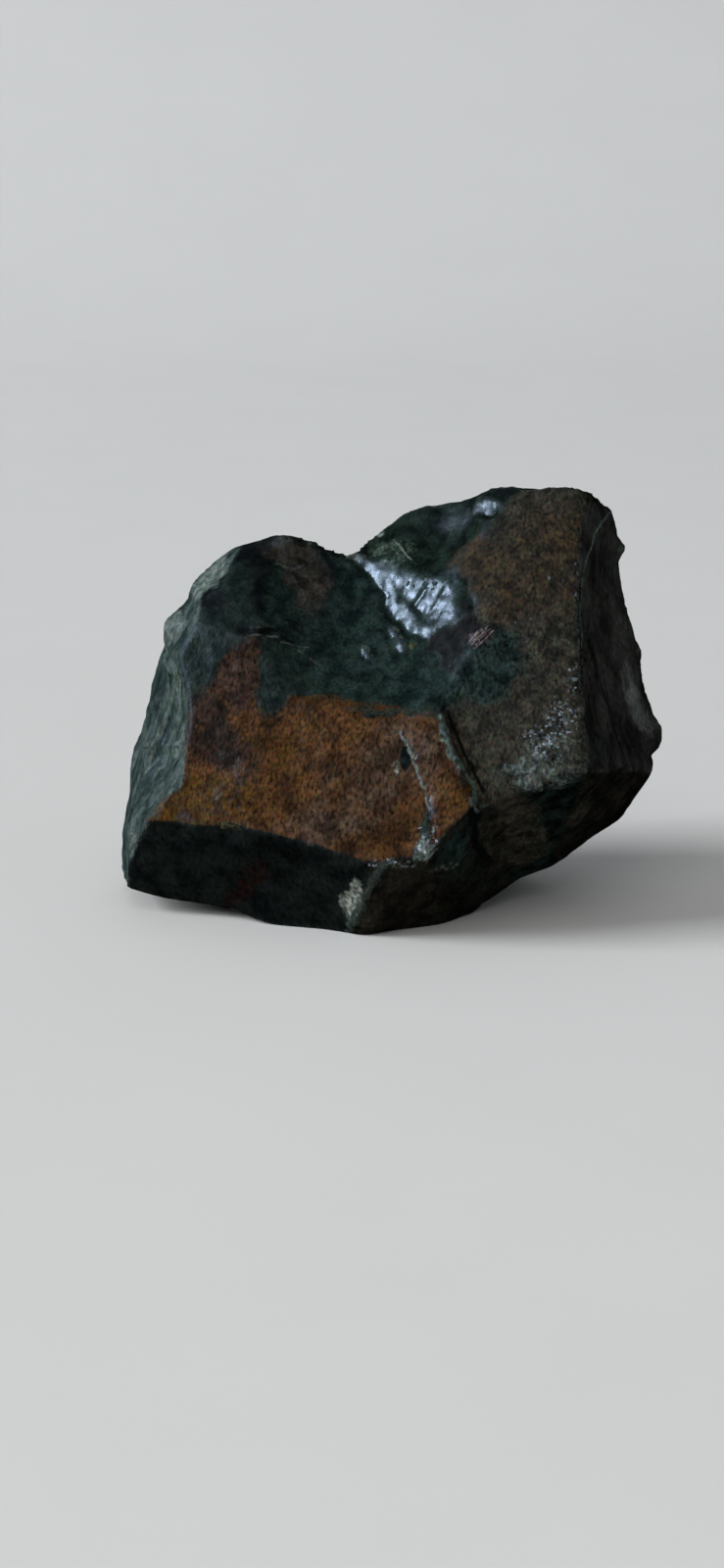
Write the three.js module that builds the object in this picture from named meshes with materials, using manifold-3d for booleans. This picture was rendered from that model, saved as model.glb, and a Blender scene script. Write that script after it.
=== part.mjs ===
// A lump of rough bloodstone, about a hand's width across, as it was broken from the seam.
//
// Millimetres, +Z up, +X to the right and +Y away from a viewer who faces the brown front break.
// The lump is laid out from its front foot, the corner that touches the surface nearest to the
// viewer, and at the end it is moved so that the origin is the middle of its base.
//
// Rock of this kind has no cleavage. It breaks along large, slightly bowed surfaces, and blows on
// its edges take off flakes that leave shell-shaped hollows. The model is made in that order: a
// block, then the large breaks, then the flake scars, then the chips along the edges.

import * as THREE from "three";
import { ImprovedNoise } from "three/addons/math/ImprovedNoise.js";
import { mergeVertices } from "three/addons/utils/BufferGeometryUtils.js";
import Module from "manifold-3d";

const wasm = await Module();
wasm.setup();

// Driving sizes
const BLOCK_SIZE = [140, 110, 110];
const BLOCK_MIDDLE = [5, 35, 45];
const HEART = [4, 32, 40]; // a point deep inside, which every break faces away from
const CUTTER_REACH = 150; // how wide a break's cutter is
const CUTTER_HEIGHT = 90;
const BREAK_PITCH = 4; // size of the triangles on a large break
const SCAR_PITCH = 3; // and on a flake scar
const UNEVEN_HEIGHT = 1.1; // slow waves on every broken surface, from crest to trough
const UNEVEN_LENGTH = 17;
const CHIP_DEPTH = 0.06; // in parts of the chip's radius
const CHIP_STRAY = 0.8; // how far a chip strays from its even step, in parts of the step
const CHIP_SPREAD = 0.9; // how much the chips of an edge differ in size
const CHIP_SEED_STEP = 1.7; // from one chip's place in the noise to the next one's
const LEAST_DETAIL = 0.03; // flat neighbours that differ by less than this become one triangle
const MERGE_WITHIN = 1e-4; // corners of a cutter that are this close are one corner

// Corners that breaks share
const CORNER = {
  frontFoot: [-1.5, 0.8, 0],
  leftFoot: [-49.5, 17.8, 4.8],
  rightFoot: [21, 9.5, 0],
  browLeft: [-44.4, 9.2, 20.6],
  browRight: [1.6, -6.4, 16.2],
  frontTop: [-14.7, 13.9, 48.8],
  ledgeTop: [16.5, 3.6, 45.5],
  chinLow: [12.7, -7.6, 16.8],
  chinRight: [22.7, -6, 29],
  chinBack: [22, 6, 12],
  chinFoot: [3, 1.8, 0],
  chinMiddle: [17, -4.4, 16.5],
  lobeLow: [24, -3.2, 28.4],
  ledgeBack: [19, 12, 38],
  lobeFoot: [43, -1.7, 32.6],
  lobeRidge: [44.7, 6.4, 46.4],
  lobeShoulder: [46.5, 22.6, 74.2],
  lobeCrest: [38.5, 30.1, 87.8],
  lobeLeft: [19, 18.9, 70.5],
  lobeWaist: [21.8, 16.4, 65.9],
  crestRight: [44.3, 31, 86.8],
  rightCrest: [54.4, 37, 78.3],
  rightRim: [56.1, 36, 59.3],
  rightNub: [64.4, 34, 34],
  rightNubBack: [62, 45, 30],
  rightNubLow: [60.5, 31, 26],
  rightHip: [59.9, 30, 24],
  hipLow: [55.1, 30, 15.4],
  belly: [38.7, 24, 4.8],
  bellyRight: [47.7, 28, 10.6],
  leftHeel: [-50.9, 38, 10],
  leftRimLow: [-49.7, 38, 24.1],
  leftEdge: [-38.6, 21.7, 51.1],
  leftEdgeTop: [-33, 25.5, 62.4],
  leftRim: [-46.9, 38, 34.9],
  leftRimTop: [-40, 38, 59.5],
  leftShoulder: [-32.3, 38, 69.3],
  neckLeft: [-33.2, 24.1, 59.4],
  neckRight: [-21.6, 20, 57.7],
  lumpTop: [-15.9, 38, 75.1],
  lumpTopLeft: [-29.4, 42, 71],
  lumpTopRight: [-4.5, 38, 71.6],
  leftPeak: [-24.2, 36.5, 71.2],
  leftPeakBack: [-31.4, 40, 67.8],
  leftPeakFront: [-30.3, 29.5, 65.2],
  notch: [-2, 38, 70],
  saddleRight: [0.2, 39, 71.7],
  hollowRight: [21, 5.5, 47.5],
  saddleRise: [1.6, 41, 74.6],
  scoopRise: [5.6, 42, 77.5],
  saddleBack: [8, 60, 66],
  scoopTop: [10.9, 42, 80],
  backLeft: [-12, 62, 32],
  backRight: [25, 66, 40],
  backMiddle: [4, 67, 34],
  backTopLeft: [-14, 62, 52],
  backTopRight: [28, 60, 63],
  backTopEnd: [46, 58, 68],
  underLeftFront: [-15, 5.5, 0],
  underLeftBack: [-25, 45, 0],
  baseBackLeft: [-30, 50, 0],
  baseBackRight: [28, 48, 0],
};

// The large breaks. Each face runs through three corners. Faces of one group meet in a ridge; a
// break with several groups takes out only what lies outside them all, so groups meet in a valley.
// Bow is how far the middle of a face swells out of the plane through its corners, or sinks in
// where it is negative.
const BREAKS = {
  base: [[{ through: ["frontFoot", "baseBackLeft", "baseBackRight"], flat: true }]],
  front: [[{ through: ["browLeft", "browRight", "frontTop"], bow: 0.5 }]],
  lowerFront: [[{ through: ["leftFoot", "frontFoot", "browRight"], bow: -1.5 }]],
  chinLeft: [[{ through: ["frontFoot", "browRight", "chinLow"], bow: -0.5 }]],
  chinRight: [[{ through: ["chinFoot", "rightFoot", "chinMiddle"], bow: -0.5 }]],
  left: [[{ through: ["browLeft", "leftEdge", "leftRim"], bow: -0.4 }]],
  leftLow: [[{ through: ["leftFoot", "leftHeel", "leftRimLow"], bow: 0.3 }]],
  leftTop: [[{ through: ["leftEdge", "leftEdgeTop", "leftShoulder"], bow: -0.4 }]],
  leftPeak: [[{ through: ["leftPeak", "leftPeakBack", "leftPeakFront"], bow: 0.2 }]],
  lobeFront: [
    [{ through: ["lobeLow", "lobeFoot", "lobeCrest"], bow: 1 }],
    [{ through: ["ledgeTop", "chinRight", "ledgeBack"], bow: -0.9, facing: [1, 0, 0] }],
  ],
  hollow: [
    [{ through: ["frontTop", "ledgeTop", "notch"], bow: -2 }],
    [
      { through: ["neckLeft", "neckRight", "lumpTop"], bow: 0.5 },
      { through: ["neckRight", "lumpTop", "lumpTopRight"], bow: 0.3 },
    ],
    [
      { through: ["saddleRight", "hollowRight", "lobeWaist"], bow: -1.5, facing: [-1, 0, 0] },
      { through: ["saddleRight", "scoopTop", "lobeLeft"], bow: -1 },
    ],
  ],
  right: [[{ through: ["lobeRidge", "lobeShoulder", "rightRim"], bow: -1.6 }]],
  lowerRight: [
    [{ through: ["chinRight", "lobeFoot", "belly"], bow: -1 }],
    [{ through: ["chinLow", "chinRight", "chinBack"], bow: -0.5 }],
  ],
  hip: [[{ through: ["lobeFoot", "rightHip", "bellyRight"], bow: -0.8 }]],
  underRight: [[{ through: ["rightFoot", "hipLow", "baseBackRight"], bow: 0.5 }]],
  underLeft: [[{ through: ["leftFoot", "underLeftFront", "underLeftBack"], bow: 0 }]],
  topRight: [[{ through: ["crestRight", "rightCrest", "backTopEnd"], bow: 0.6 }]],
  backTop: [
    [{ through: ["lumpTopLeft", "lumpTop", "backTopLeft"], bow: 0.8 }],
    [
      { through: ["scoopTop", "lobeCrest", "backTopRight"], bow: 0.8 },
      { through: ["saddleRise", "scoopRise", "saddleBack"], bow: 0.3 },
    ],
  ],
  backLeft: [[{ through: ["leftRim", "leftRimTop", "backLeft"], bow: 0.8 }]],
  backRight: [[{ through: ["rightRim", "rightNub", "backRight"], bow: -0.4 }]],
  underNub: [[{ through: ["rightNubLow", "rightNub", "rightNubBack"], bow: -0.3 }]],
  back: [[{ through: ["backTopLeft", "backTopRight", "backMiddle"], bow: 0.5 }]],
  backLower: [[{ through: ["baseBackLeft", "baseBackRight", "backMiddle"], bow: 0.8 }]],
};

// Flake scars. Each is part of a ball: it sinks to a depth below a place on the surface, coming from
// the side that it faces. Most sit on an edge, where a blow takes off a flake.
const SCARS = {
  leftFlake: { at: [-37, 15.5, 37], facing: [-0.94, -0.23, 0.25], radius: 32, depth: 0.5 },
  scoopBowl: { at: [18, 29, 76.5], facing: [-0.57, -0.475, 0.67], radius: 22, depth: 3 },
  notchFlake: { at: [-4, 42.5, 69], facing: [-0.15, 0.7, 0.7], radius: 8.5, depth: 2.4 },
  bellyFlake: { at: [46, 14, 18], facing: [0.45, -0.6, -0.66], radius: 24, depth: 2 },
  ridgeFlake: { at: [47.5, 24.5, 77], facing: [0.7, -0.65, 0.3], radius: 22, depth: 1.3 },
  shoulderFlake: { at: [59, 27, 44], facing: [0.75, -0.6, 0.3], radius: 26, depth: 1.8 },
  backFlake: { at: [-13, 62, 38], facing: [-0.25, 0.95, 0.1], radius: 38, depth: 4 },
  backHollow: { at: [26, 65, 42], facing: [0.4, 0.9, 0.15], radius: 36, depth: 5 },
  heelFlake: { at: [46, 48, 20], facing: [0.6, 0.6, -0.5], radius: 26, depth: 5 },
  crestFlake: { at: [26, 58, 64], facing: [0.05, 0.8, 0.6], radius: 28, depth: 3 },
  rimFlake: { at: [-45, 41, 40], facing: [-0.8, 0.6, 0.1], radius: 24, depth: 1.6 },
};

// Chips along the edges: small flakes, given by the edge's two ends, how many, and the chip's size
const CHIPPED_EDGES = [
  { from: "browLeft", to: "browRight", count: 4, radius: 12, facing: [-0.3, -0.95, -0.05] },
  { from: "ledgeTop", to: "chinRight", count: 2, radius: 9, facing: [0.35, -0.9, 0.3] },
  { from: "chinRight", to: "lobeFoot", count: 2, radius: 13, facing: [0.3, -0.95, -0.1] },
  { from: "lumpTopLeft", to: "leftEdgeTop", count: 2, radius: 13, facing: [-0.6, -0.4, 0.7] },
  { from: "scoopTop", to: "lobeCrest", count: 2, radius: 15, facing: [0, 0, 1] },
];

const noise = new ImprovedNoise();

function vector([x, y, z]) {
  return new THREE.Vector3(x, y, z);
}

// Height of the slow waves at a place in the lump
function uneven(place) {
  const at = place.clone().divideScalar(UNEVEN_LENGTH);
  return UNEVEN_HEIGHT * noise.noise(at.x, at.y, at.z);
}

function solidOf(geometry, placing) {
  const bare = geometry.clone().applyMatrix4(placing);
  bare.deleteAttribute("normal");
  bare.deleteAttribute("uv");
  const merged = mergeVertices(bare, MERGE_WITHIN);
  return new wasm.Manifold(
    new wasm.Mesh({
      numProp: 3,
      vertProperties: merged.attributes.position.array,
      triVerts: new Uint32Array(merged.index.array),
    }),
  );
}

// Axes on a break's plane: X and Y in it, Z straight out of the stone
function placingOf(corners, facing) {
  const [a, b, c] = corners;
  const middle = a.clone().add(b).add(c).divideScalar(3);
  const across = b.clone().sub(a).normalize();
  const out = across.clone().cross(c.clone().sub(a)).normalize();
  const outward = facing ? vector(facing) : middle.clone().sub(vector(HEART));
  if (out.dot(outward) < 0) out.negate();
  const along = out.clone().cross(across);
  return new THREE.Matrix4().makeBasis(across, along, out).setPosition(middle);
}

// How a bow dies away: 1 in the middle of a face, 0 at its corners, and level again far outside
function swellAt(reach) {
  return (1 - reach ** 2) / (1 + reach ** 2 / 2);
}

// A block whose underside is the broken surface. Its top, which never meets the stone, is left flat
function faceCutter({ through, bow, facing, flat }) {
  const corners = through.map((c) => vector(CORNER[c]));
  const placing = placingOf(corners, facing);
  const middle = new THREE.Vector3().setFromMatrixPosition(placing);
  const span = corners.reduce((sum, c) => sum + c.distanceTo(middle), 0) / 3;
  const steps = flat ? 1 : Math.round(CUTTER_REACH / BREAK_PITCH);
  const slab = new THREE.BoxGeometry(CUTTER_REACH, CUTTER_REACH, CUTTER_HEIGHT, steps, steps, 1);
  const position = slab.attributes.position;
  for (let i = 0; i < position.count; i++) {
    const here = new THREE.Vector3().fromBufferAttribute(position, i);
    if (here.z > 0) {
      position.setZ(i, CUTTER_HEIGHT);
      continue;
    }
    const swell = flat ? 0 : bow * swellAt(Math.hypot(here.x, here.y) / span);
    here.z = 0;
    const waves = flat ? 0 : uneven(here.applyMatrix4(placing));
    position.setZ(i, swell + waves);
  }
  return solidOf(slab, placing);
}

// The ball that hollows out a flake scar
function scarCutter({ at, facing, radius, depth }) {
  const out = vector(facing).normalize();
  const middle = vector(at).addScaledVector(out, radius - depth);
  const detail = Math.round(radius / SCAR_PITCH);
  const ball = new THREE.IcosahedronGeometry(radius, detail);
  const position = ball.attributes.position;
  for (let i = 0; i < position.count; i++) {
    const here = new THREE.Vector3().fromBufferAttribute(position, i);
    const waves = uneven(here.clone().add(middle));
    here.setLength(radius + waves);
    position.setXYZ(i, here.x, here.y, here.z);
  }
  return solidOf(ball, new THREE.Matrix4().setPosition(middle));
}

// Chips sit at uneven steps along their edge and differ in size
function chipsAlong({ from, to, count, radius, facing }) {
  const start = vector(CORNER[from]);
  const end = vector(CORNER[to]);
  return Array.from({ length: count }, (_, i) => {
    const stray = noise.noise(start.x + i * CHIP_SEED_STEP, start.y, end.z);
    const at = start.clone().lerp(end, (i + 0.5 + stray * CHIP_STRAY) / count);
    const size = radius * (1 + stray * CHIP_SPREAD);
    return scarCutter({ at: at.toArray(), facing, radius: size, depth: size * CHIP_DEPTH });
  });
}

function brokenLump() {
  const block = new THREE.BoxGeometry(...BLOCK_SIZE);
  let lump = solidOf(block, new THREE.Matrix4().setPosition(...BLOCK_MIDDLE));
  for (const groups of Object.values(BREAKS)) {
    const parts = groups.map((faces) => wasm.Manifold.union(faces.map(faceCutter)));
    lump = lump.subtract(wasm.Manifold.intersection(parts));
  }
  for (const scar of Object.values(SCARS)) lump = lump.subtract(scarCutter(scar));
  for (const edge of CHIPPED_EDGES) {
    for (const chip of chipsAlong(edge)) lump = lump.subtract(chip);
  }
  return lump.simplify(LEAST_DETAIL);
}

function geometryOf(solid) {
  const { vertProperties, triVerts } = solid.getMesh();
  const geometry = new THREE.BufferGeometry();
  geometry.setAttribute("position", new THREE.BufferAttribute(vertProperties, 3));
  geometry.setIndex(new THREE.BufferAttribute(triVerts, 1));
  return geometry;
}

// The origin goes to the middle of the base
function centred(geometry) {
  geometry.computeBoundingBox();
  const middle = geometry.boundingBox.getCenter(new THREE.Vector3());
  return geometry.translate(-middle.x, -middle.y, -geometry.boundingBox.min.z);
}

const stone = new THREE.Mesh(
  centred(geometryOf(brokenLump())),
  new THREE.MeshStandardMaterial({ color: 0x1d2b24, roughness: 0.45, metalness: 0 }),
);
stone.name = "bloodstone";

const bloodstone = new THREE.Group();
bloodstone.add(stone);

export default bloodstone;
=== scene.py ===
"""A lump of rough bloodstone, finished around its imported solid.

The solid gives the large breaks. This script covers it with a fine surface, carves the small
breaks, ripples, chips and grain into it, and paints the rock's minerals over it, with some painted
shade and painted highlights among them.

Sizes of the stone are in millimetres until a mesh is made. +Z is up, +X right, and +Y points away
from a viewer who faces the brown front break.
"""
import itertools
import logging
import math
from abc import ABC, abstractmethod
from dataclasses import dataclass, field
from enum import Enum

import bpy
import numpy as np
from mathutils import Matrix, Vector


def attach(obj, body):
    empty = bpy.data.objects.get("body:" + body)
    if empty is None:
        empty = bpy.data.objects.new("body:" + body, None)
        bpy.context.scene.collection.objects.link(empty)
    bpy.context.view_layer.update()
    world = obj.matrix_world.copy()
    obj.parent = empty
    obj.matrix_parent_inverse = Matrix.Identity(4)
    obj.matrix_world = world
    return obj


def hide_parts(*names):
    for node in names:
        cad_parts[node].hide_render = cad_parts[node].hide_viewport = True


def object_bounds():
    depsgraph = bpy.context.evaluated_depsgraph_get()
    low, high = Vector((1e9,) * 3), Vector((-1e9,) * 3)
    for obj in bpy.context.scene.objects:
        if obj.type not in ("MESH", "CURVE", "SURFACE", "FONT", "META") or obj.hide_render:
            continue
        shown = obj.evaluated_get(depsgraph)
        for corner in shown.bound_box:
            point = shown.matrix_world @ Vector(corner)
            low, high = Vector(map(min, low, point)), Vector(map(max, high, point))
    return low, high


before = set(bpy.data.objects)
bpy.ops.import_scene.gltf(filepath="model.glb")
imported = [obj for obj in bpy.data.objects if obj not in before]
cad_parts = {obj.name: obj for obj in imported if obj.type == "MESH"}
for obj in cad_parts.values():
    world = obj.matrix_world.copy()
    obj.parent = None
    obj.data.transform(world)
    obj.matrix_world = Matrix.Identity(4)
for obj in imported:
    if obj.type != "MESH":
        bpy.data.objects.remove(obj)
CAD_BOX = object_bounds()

log = logging.getLogger("bloodstone")

MM = 0.001
NODE = "bloodstone"
BODY = "root"
CORNERS = 4  # of each face of the fine surface
SHORTEST = 1e-12  # length below which a row counts as this long

Array = np.ndarray
Point = tuple[float, float, float]
Colour = tuple[float, float, float]
Span = tuple[float, float]  # where a smooth step begins and where it ends
Socket = bpy.types.NodeSocket
Source = Socket | float | tuple[float, ...]  # what a socket may be fed with


def unit(rows: Array) -> Array:
    """Each row scaled to a length of one."""
    return rows / np.maximum(np.linalg.norm(rows, axis=-1, keepdims=True), SHORTEST)


def eased(values: Array, low: float, high: float) -> Array:
    """Smooth step from 0 at low to 1 at high, where low may be the larger of the two."""
    share = np.clip((values - low) / (high - low), 0, 1)
    return share * share * (3 - 2 * share)


class Noise:
    """Smooth noise in space that is the same on every run."""

    ENTRIES = 256
    FULL_SCALE = 1.7  # brings the usual reach of gradient noise to about one
    LAYER_SHIFT = 3  # how far each layer is moved from the last, in lengths of the largest waves

    def __init__(self, seed: int) -> None:
        """Shuffles the tables.

        Args:
            seed: number that the noise depends on.
        """
        dice = np.random.default_rng(seed)
        self.order = dice.permutation(self.ENTRIES)
        self.slopes = unit(dice.normal(size=(self.ENTRIES, 3)))
        self.shifts = dice.random((self.ENTRIES, 3))

    def _entry(self, cells: Array) -> Array:
        """Looks up the cells of a whole-numbered grid.

        Args:
            cells: three whole numbers a row.

        Returns:
            The number in the tables that each cell stands for.
        """
        last = self.ENTRIES - 1
        found = self.order[cells[:, 0] & last]
        found = self.order[(found + cells[:, 1]) & last]
        return self.order[(found + cells[:, 2]) & last]

    def at(self, places: Array, size: float) -> Array:
        """Gradient noise, from about -1 to 1.

        Args:
            places: one point a row.
            size: length of its waves.

        Returns:
            One value a point.
        """
        scaled = places / size
        cells = np.floor(scaled).astype(int)
        part = scaled - cells
        ease = part**3 * (part * (part * 6 - 15) + 10)  # level at both ends of a cell
        total = np.zeros(len(places))
        for corner in itertools.product((0, 1), repeat=3):
            step = np.array(corner)
            weight = np.prod(np.where(step, ease, 1 - ease), axis=1)
            slope = self.slopes[self._entry(cells + step)]
            total += weight * ((part - step) * slope).sum(axis=1)
        return total * self.FULL_SCALE

    def layered(self, places: Array, size: float, layers: int, fade: float = 0.5) -> Array:
        """Noise of several sizes, each half as large as the last.

        Args:
            places: one point a row.
            size: length of the largest waves.
            layers: how many sizes.
            fade: height of each layer beside the one before it.

        Returns:
            One value a point, from about -1 to 1.
        """
        total = np.zeros(len(places))
        for layer in range(layers):
            total += self.at(places + layer * size * self.LAYER_SHIFT, size / 2**layer) * fade**layer
        return total

    def nearest(self, places: Array, size: float) -> Array:
        """Distances to the nearest of a field of scattered seeds.

        Args:
            places: one point a row.
            size: usual distance between seeds.

        Returns:
            One distance a point, in parts of size.
        """
        scaled = places / size
        cells = np.floor(scaled).astype(int)
        near = np.full(len(places), np.inf)
        for corner in itertools.product((-1, 0, 1), repeat=3):
            here = cells + np.array(corner)
            seed = here + self.shifts[self._entry(here)]
            near = np.minimum(near, ((scaled - seed) ** 2).sum(axis=1))
        return np.sqrt(near)


@dataclass(frozen=True)
class Facet:
    """A large break: a place on it and the way it faces out of the stone."""

    at: Point
    facing: Point


class Side(Enum):
    """The breaks that differ in colour or texture."""

    FRONT = Facet((-25.1, -24.1, 28.5), (-0.26, -0.87, 0.42))
    LOW_FRONT = Facet((-22.4, -25.6, 7.0), (-0.34, -0.88, -0.33))
    CHIN = Facet((-1.7, -34.1, 11.0), (-0.08, -0.92, -0.39))
    CHIN_SIDE = Facet((7.7, -27.4, 5.5), (0.33, -0.76, -0.56))
    CHIN_WEDGE = Facet((13.2, -32.2, 19.3), (0.65, -0.61, -0.45))
    HIP = Facet((28.9, -24.3, 22.1), (0.27, -0.69, -0.68))
    HIP_SIDE = Facet((44.3, -10.9, 22.4), (0.67, -0.51, -0.54))
    LEFT = Facet((-49.3, -6.7, 35.5), (-0.94, -0.21, 0.27))
    LEFT_LOW = Facet((-56.0, 1.6, 13.0), (-0.99, -0.09, 0.08))
    LEFT_TOP = Facet((-40.6, -1.3, 60.9), (-0.84, -0.22, 0.49))
    LEFT_PEAK = Facet((-34.6, 5.6, 68.1), (-0.51, -0.26, 0.82))
    LUMP = Facet((-29.5, -2.3, 64.1), (-0.13, -0.67, 0.73))
    LUMP_SIDE = Facet((-19.9, 2.3, 68.1), (0.21, -0.71, 0.67))
    HOLLOW = Facet((-6.0, -11.2, 54.8), (-0.12, -0.62, 0.78))
    HOLLOW_RIGHT = Facet((8.4, -9.4, 61.7), (-0.60, -0.68, 0.43))
    SCOOP = Facet((6.1, 4.6, 74.6), (-0.45, -0.50, 0.74))
    LOBE = Facet((29.2, -21.3, 49.6), (-0.04, -0.87, 0.50))
    LEDGE = Facet((13.5, -26.5, 37.5), (0.94, 0.02, 0.34))
    RIGHT = Facet((43.1, -8.0, 60.0), (0.89, -0.42, 0.19))
    TOP_RIGHT = Facet((42.3, 12.3, 77.7), (0.35, 0.52, 0.78))
    BACK_TOP_LEFT = Facet((-25.7, 17.6, 66.0), (-0.01, 0.69, 0.72))
    BACK_TOP_RIGHT = Facet((19.9, 14.3, 76.9), (0.07, 0.65, 0.76))
    BACK_LEFT = Facet((-38.9, 16.3, 42.1), (-0.55, 0.82, 0.15))
    BACK_RIGHT = Facet((42.5, 15.6, 44.4), (0.64, 0.76, 0.15))
    BACK = Facet((0.0, 33.3, 49.7), (-0.02, 0.97, 0.25))
    BACK_LOW = Facet((-5.3, 25.3, 11.3), (0.03, 0.88, -0.47))
    BASE = Facet((-7.1, 3.2, 0.0), (0.0, 0.0, -1.0))
    UNDER_RIGHT = Facet((28.7, -0.5, 5.1), (0.45, -0.08, -0.89))


TO_WINDOW: Point = (-0.547, -0.71, 0.446)  # faces turned this way shine brightest
GRAINY = (Side.FRONT, Side.LOBE)
LEFT_SIDES = (Side.LEFT, Side.LEFT_LOW, Side.LEFT_TOP)
DARK_FRONT = (Side.LOW_FRONT, Side.CHIN, Side.CHIN_SIDE, Side.CHIN_WEDGE, Side.HIP, Side.HIP_SIDE)
REAR = (
    Side.TOP_RIGHT, Side.BACK_TOP_LEFT, Side.BACK_TOP_RIGHT, Side.BACK_LEFT, Side.BACK_RIGHT,
    Side.BACK, Side.BACK_LOW, Side.UNDER_RIGHT,
)


class Skin:
    """A closed surface of four-sided faces, held as arrays in millimetres."""

    SIDE_REACH = 2.5  # how far off its plane a break may lie before it is doubted
    SIDE_TURN = 0.08  # the same for the way it faces, as one minus a cosine
    SIDE_SPAN = 60.0  # and for how far along it a place is
    FACING_ROUNDS = 4  # smoothing of the way a place faces, before it is given to a break
    BORDER_ROUNDS = 3  # smoothing of the borders between breaks

    def __init__(self, places: Array, faces: Array) -> None:
        """Finds the edges and what lies on each side of them.

        Args:
            places: corner points, one a row.
            faces: four corner numbers a row.
        """
        self.places = places
        self.faces = faces
        ends = [[turn, (turn + 1) % CORNERS] for turn in range(CORNERS)]
        pairs = np.concatenate([faces[:, pair] for pair in ends])
        owners = np.tile(np.arange(len(faces)), CORNERS)
        pairs.sort(axis=1)
        order = np.argsort(pairs[:, 0] * len(places) + pairs[:, 1], kind="stable")
        self.edges = pairs[order[::2]]
        self.across = owners[order].reshape(-1, 2)  # the faces on both sides of each edge
        self.neighbours = np.bincount(self.edges.ravel(), minlength=len(places))
        self.meeting = np.bincount(faces.ravel(), minlength=len(places))  # faces at each point

    def face_normals(self) -> Array:
        """The way each face points."""
        corner = self.places[self.faces]
        return unit(np.cross(corner[:, 2] - corner[:, 0], corner[:, 3] - corner[:, 1]))

    def normals(self) -> Array:
        """The way the surface points at each corner point."""
        rows = np.repeat(self.face_normals(), CORNERS, axis=0)
        return unit(self._gathered(self.faces.ravel(), rows))

    def _gathered(self, numbers: Array, rows: Array, count: int | None = None) -> Array:
        """Sum of the rows that share a number.

        Args:
            numbers: where each row is added.
            rows: what is added, three columns.
            count: how many sums there are, which is one a corner point if left out.

        Returns:
            One row a sum.
        """
        size = count or len(self.places)
        sums = [np.bincount(numbers, rows[:, axis], minlength=size) for axis in range(3)]
        return np.stack(sums, axis=1)

    def spread(self, values: Array, rounds: int) -> Array:
        """Averages values over the surface.

        Args:
            values: one a corner point, or one row of three.
            rounds: how often each is averaged with its neighbours.

        Returns:
            The smoothed values.
        """
        first, second = self.edges.T
        single = values.ndim == 1
        rows = values[:, None] if single else values
        for _ in range(rounds):
            sums = np.zeros_like(rows, dtype=float)
            for column in range(rows.shape[1]):
                here = rows[:, column]
                sums[:, column] = np.bincount(first, here[second], minlength=len(rows))
                sums[:, column] += np.bincount(second, here[first], minlength=len(rows))
            rows = (rows + sums / self.neighbours[:, None]) / 2
        return rows[:, 0] if single else rows

    def level(self, rounds: int, keep: float) -> None:
        """Takes out the solid's small flat faces and leaves its edges.

        Args:
            rounds: how far the smoothing reaches, in faces.
            keep: an edge is kept where its faces differ by more than about this angle.
        """
        left, right = self.across.T
        count = len(self.faces)
        facing = self.face_normals()
        limit = (2 * math.sin(keep / 2)) ** 2
        for _ in range(rounds):
            weight = np.exp(-((facing[left] - facing[right]) ** 2).sum(axis=1) / limit)[:, None]
            pull = self._gathered(left, weight * facing[right], count)
            pull += self._gathered(right, weight * facing[left], count)
            facing = unit(facing + pull)
        for _ in range(rounds // 2):
            middle = self.places[self.faces].mean(axis=1)
            gap = middle[:, None] - self.places[self.faces]
            push = (gap * facing[:, None]).sum(axis=2)[..., None] * facing[:, None]
            moved = self._gathered(self.faces.ravel(), push.reshape(-1, 3))
            self.places = self.places + moved / self.meeting[:, None]

    def sides(self) -> dict[Side, Array]:
        """How much each corner point belongs to each break.

        Returns:
            For each side, one share a corner point. Shares blend over about a millimetre.
        """
        facing = self.spread(self.normals(), self.FACING_ROUNDS)
        doubts = []
        for side in Side:
            gap = self.places - np.array(side.value.at)
            out = unit(np.array(side.value.facing))
            off = np.abs(gap @ out) / self.SIDE_REACH
            turned = (1 - facing @ out) / self.SIDE_TURN
            doubts.append(off + turned + np.linalg.norm(gap, axis=1) / self.SIDE_SPAN)
        nearest = np.argmin(doubts, axis=0)
        rounds = self.BORDER_ROUNDS
        return {side: self.spread((nearest == i) * 1.0, rounds) for i, side in enumerate(Side)}

    def crests(self, rounds: int) -> Array:
        """How far each corner point stands out of the smoothed surface, in millimetres."""
        smooth = self.spread(self.places, rounds)
        return ((self.places - smooth) * self.normals()).sum(axis=1)


@dataclass(frozen=True)
class Line:
    """A line drawn on the stone through a few points, and its width."""

    through: tuple[Point, ...]
    width: float

    def gaps(self, places: Array) -> tuple[Array, Array]:
        """Measures from the line.

        Args:
            places: one point a row.

        Returns:
            For each place the way to it from the nearest point of the line, and the way the line
            runs there.
        """
        best = np.full((len(places), 3), np.inf)
        runs = np.zeros((len(places), 3))
        for start, end in itertools.pairwise(np.array(self.through)):
            along = end - start
            share = np.clip((places - start) @ along / (along @ along), 0, 1)
            gap = places - start - share[:, None] * along
            nearer = ((gap**2).sum(axis=1) < (best**2).sum(axis=1))[:, None]
            best = np.where(nearer, gap, best)
            runs = np.where(nearer, along, runs)
        return best, runs

    def away(self, places: Array) -> Array:
        """Distance of each place from the line."""
        gap, _ = self.gaps(places)
        return np.linalg.norm(gap, axis=1)


@dataclass(frozen=True)
class Patch:
    """A rounded area round a place, fading at its rim."""

    at: Point
    reach: Point
    amount: float = 1.0

    WHOLE = 0.5  # how far out it is whole, in parts of its reach
    GONE = 1.5  # and how far out nothing is left of it

    def share(self, places: Array) -> Array:
        """How much of the patch each place has."""
        away = np.linalg.norm((places - np.array(self.at)) / np.array(self.reach), axis=1)
        return self.amount * eased(away, self.GONE, self.WHOLE)


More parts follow.
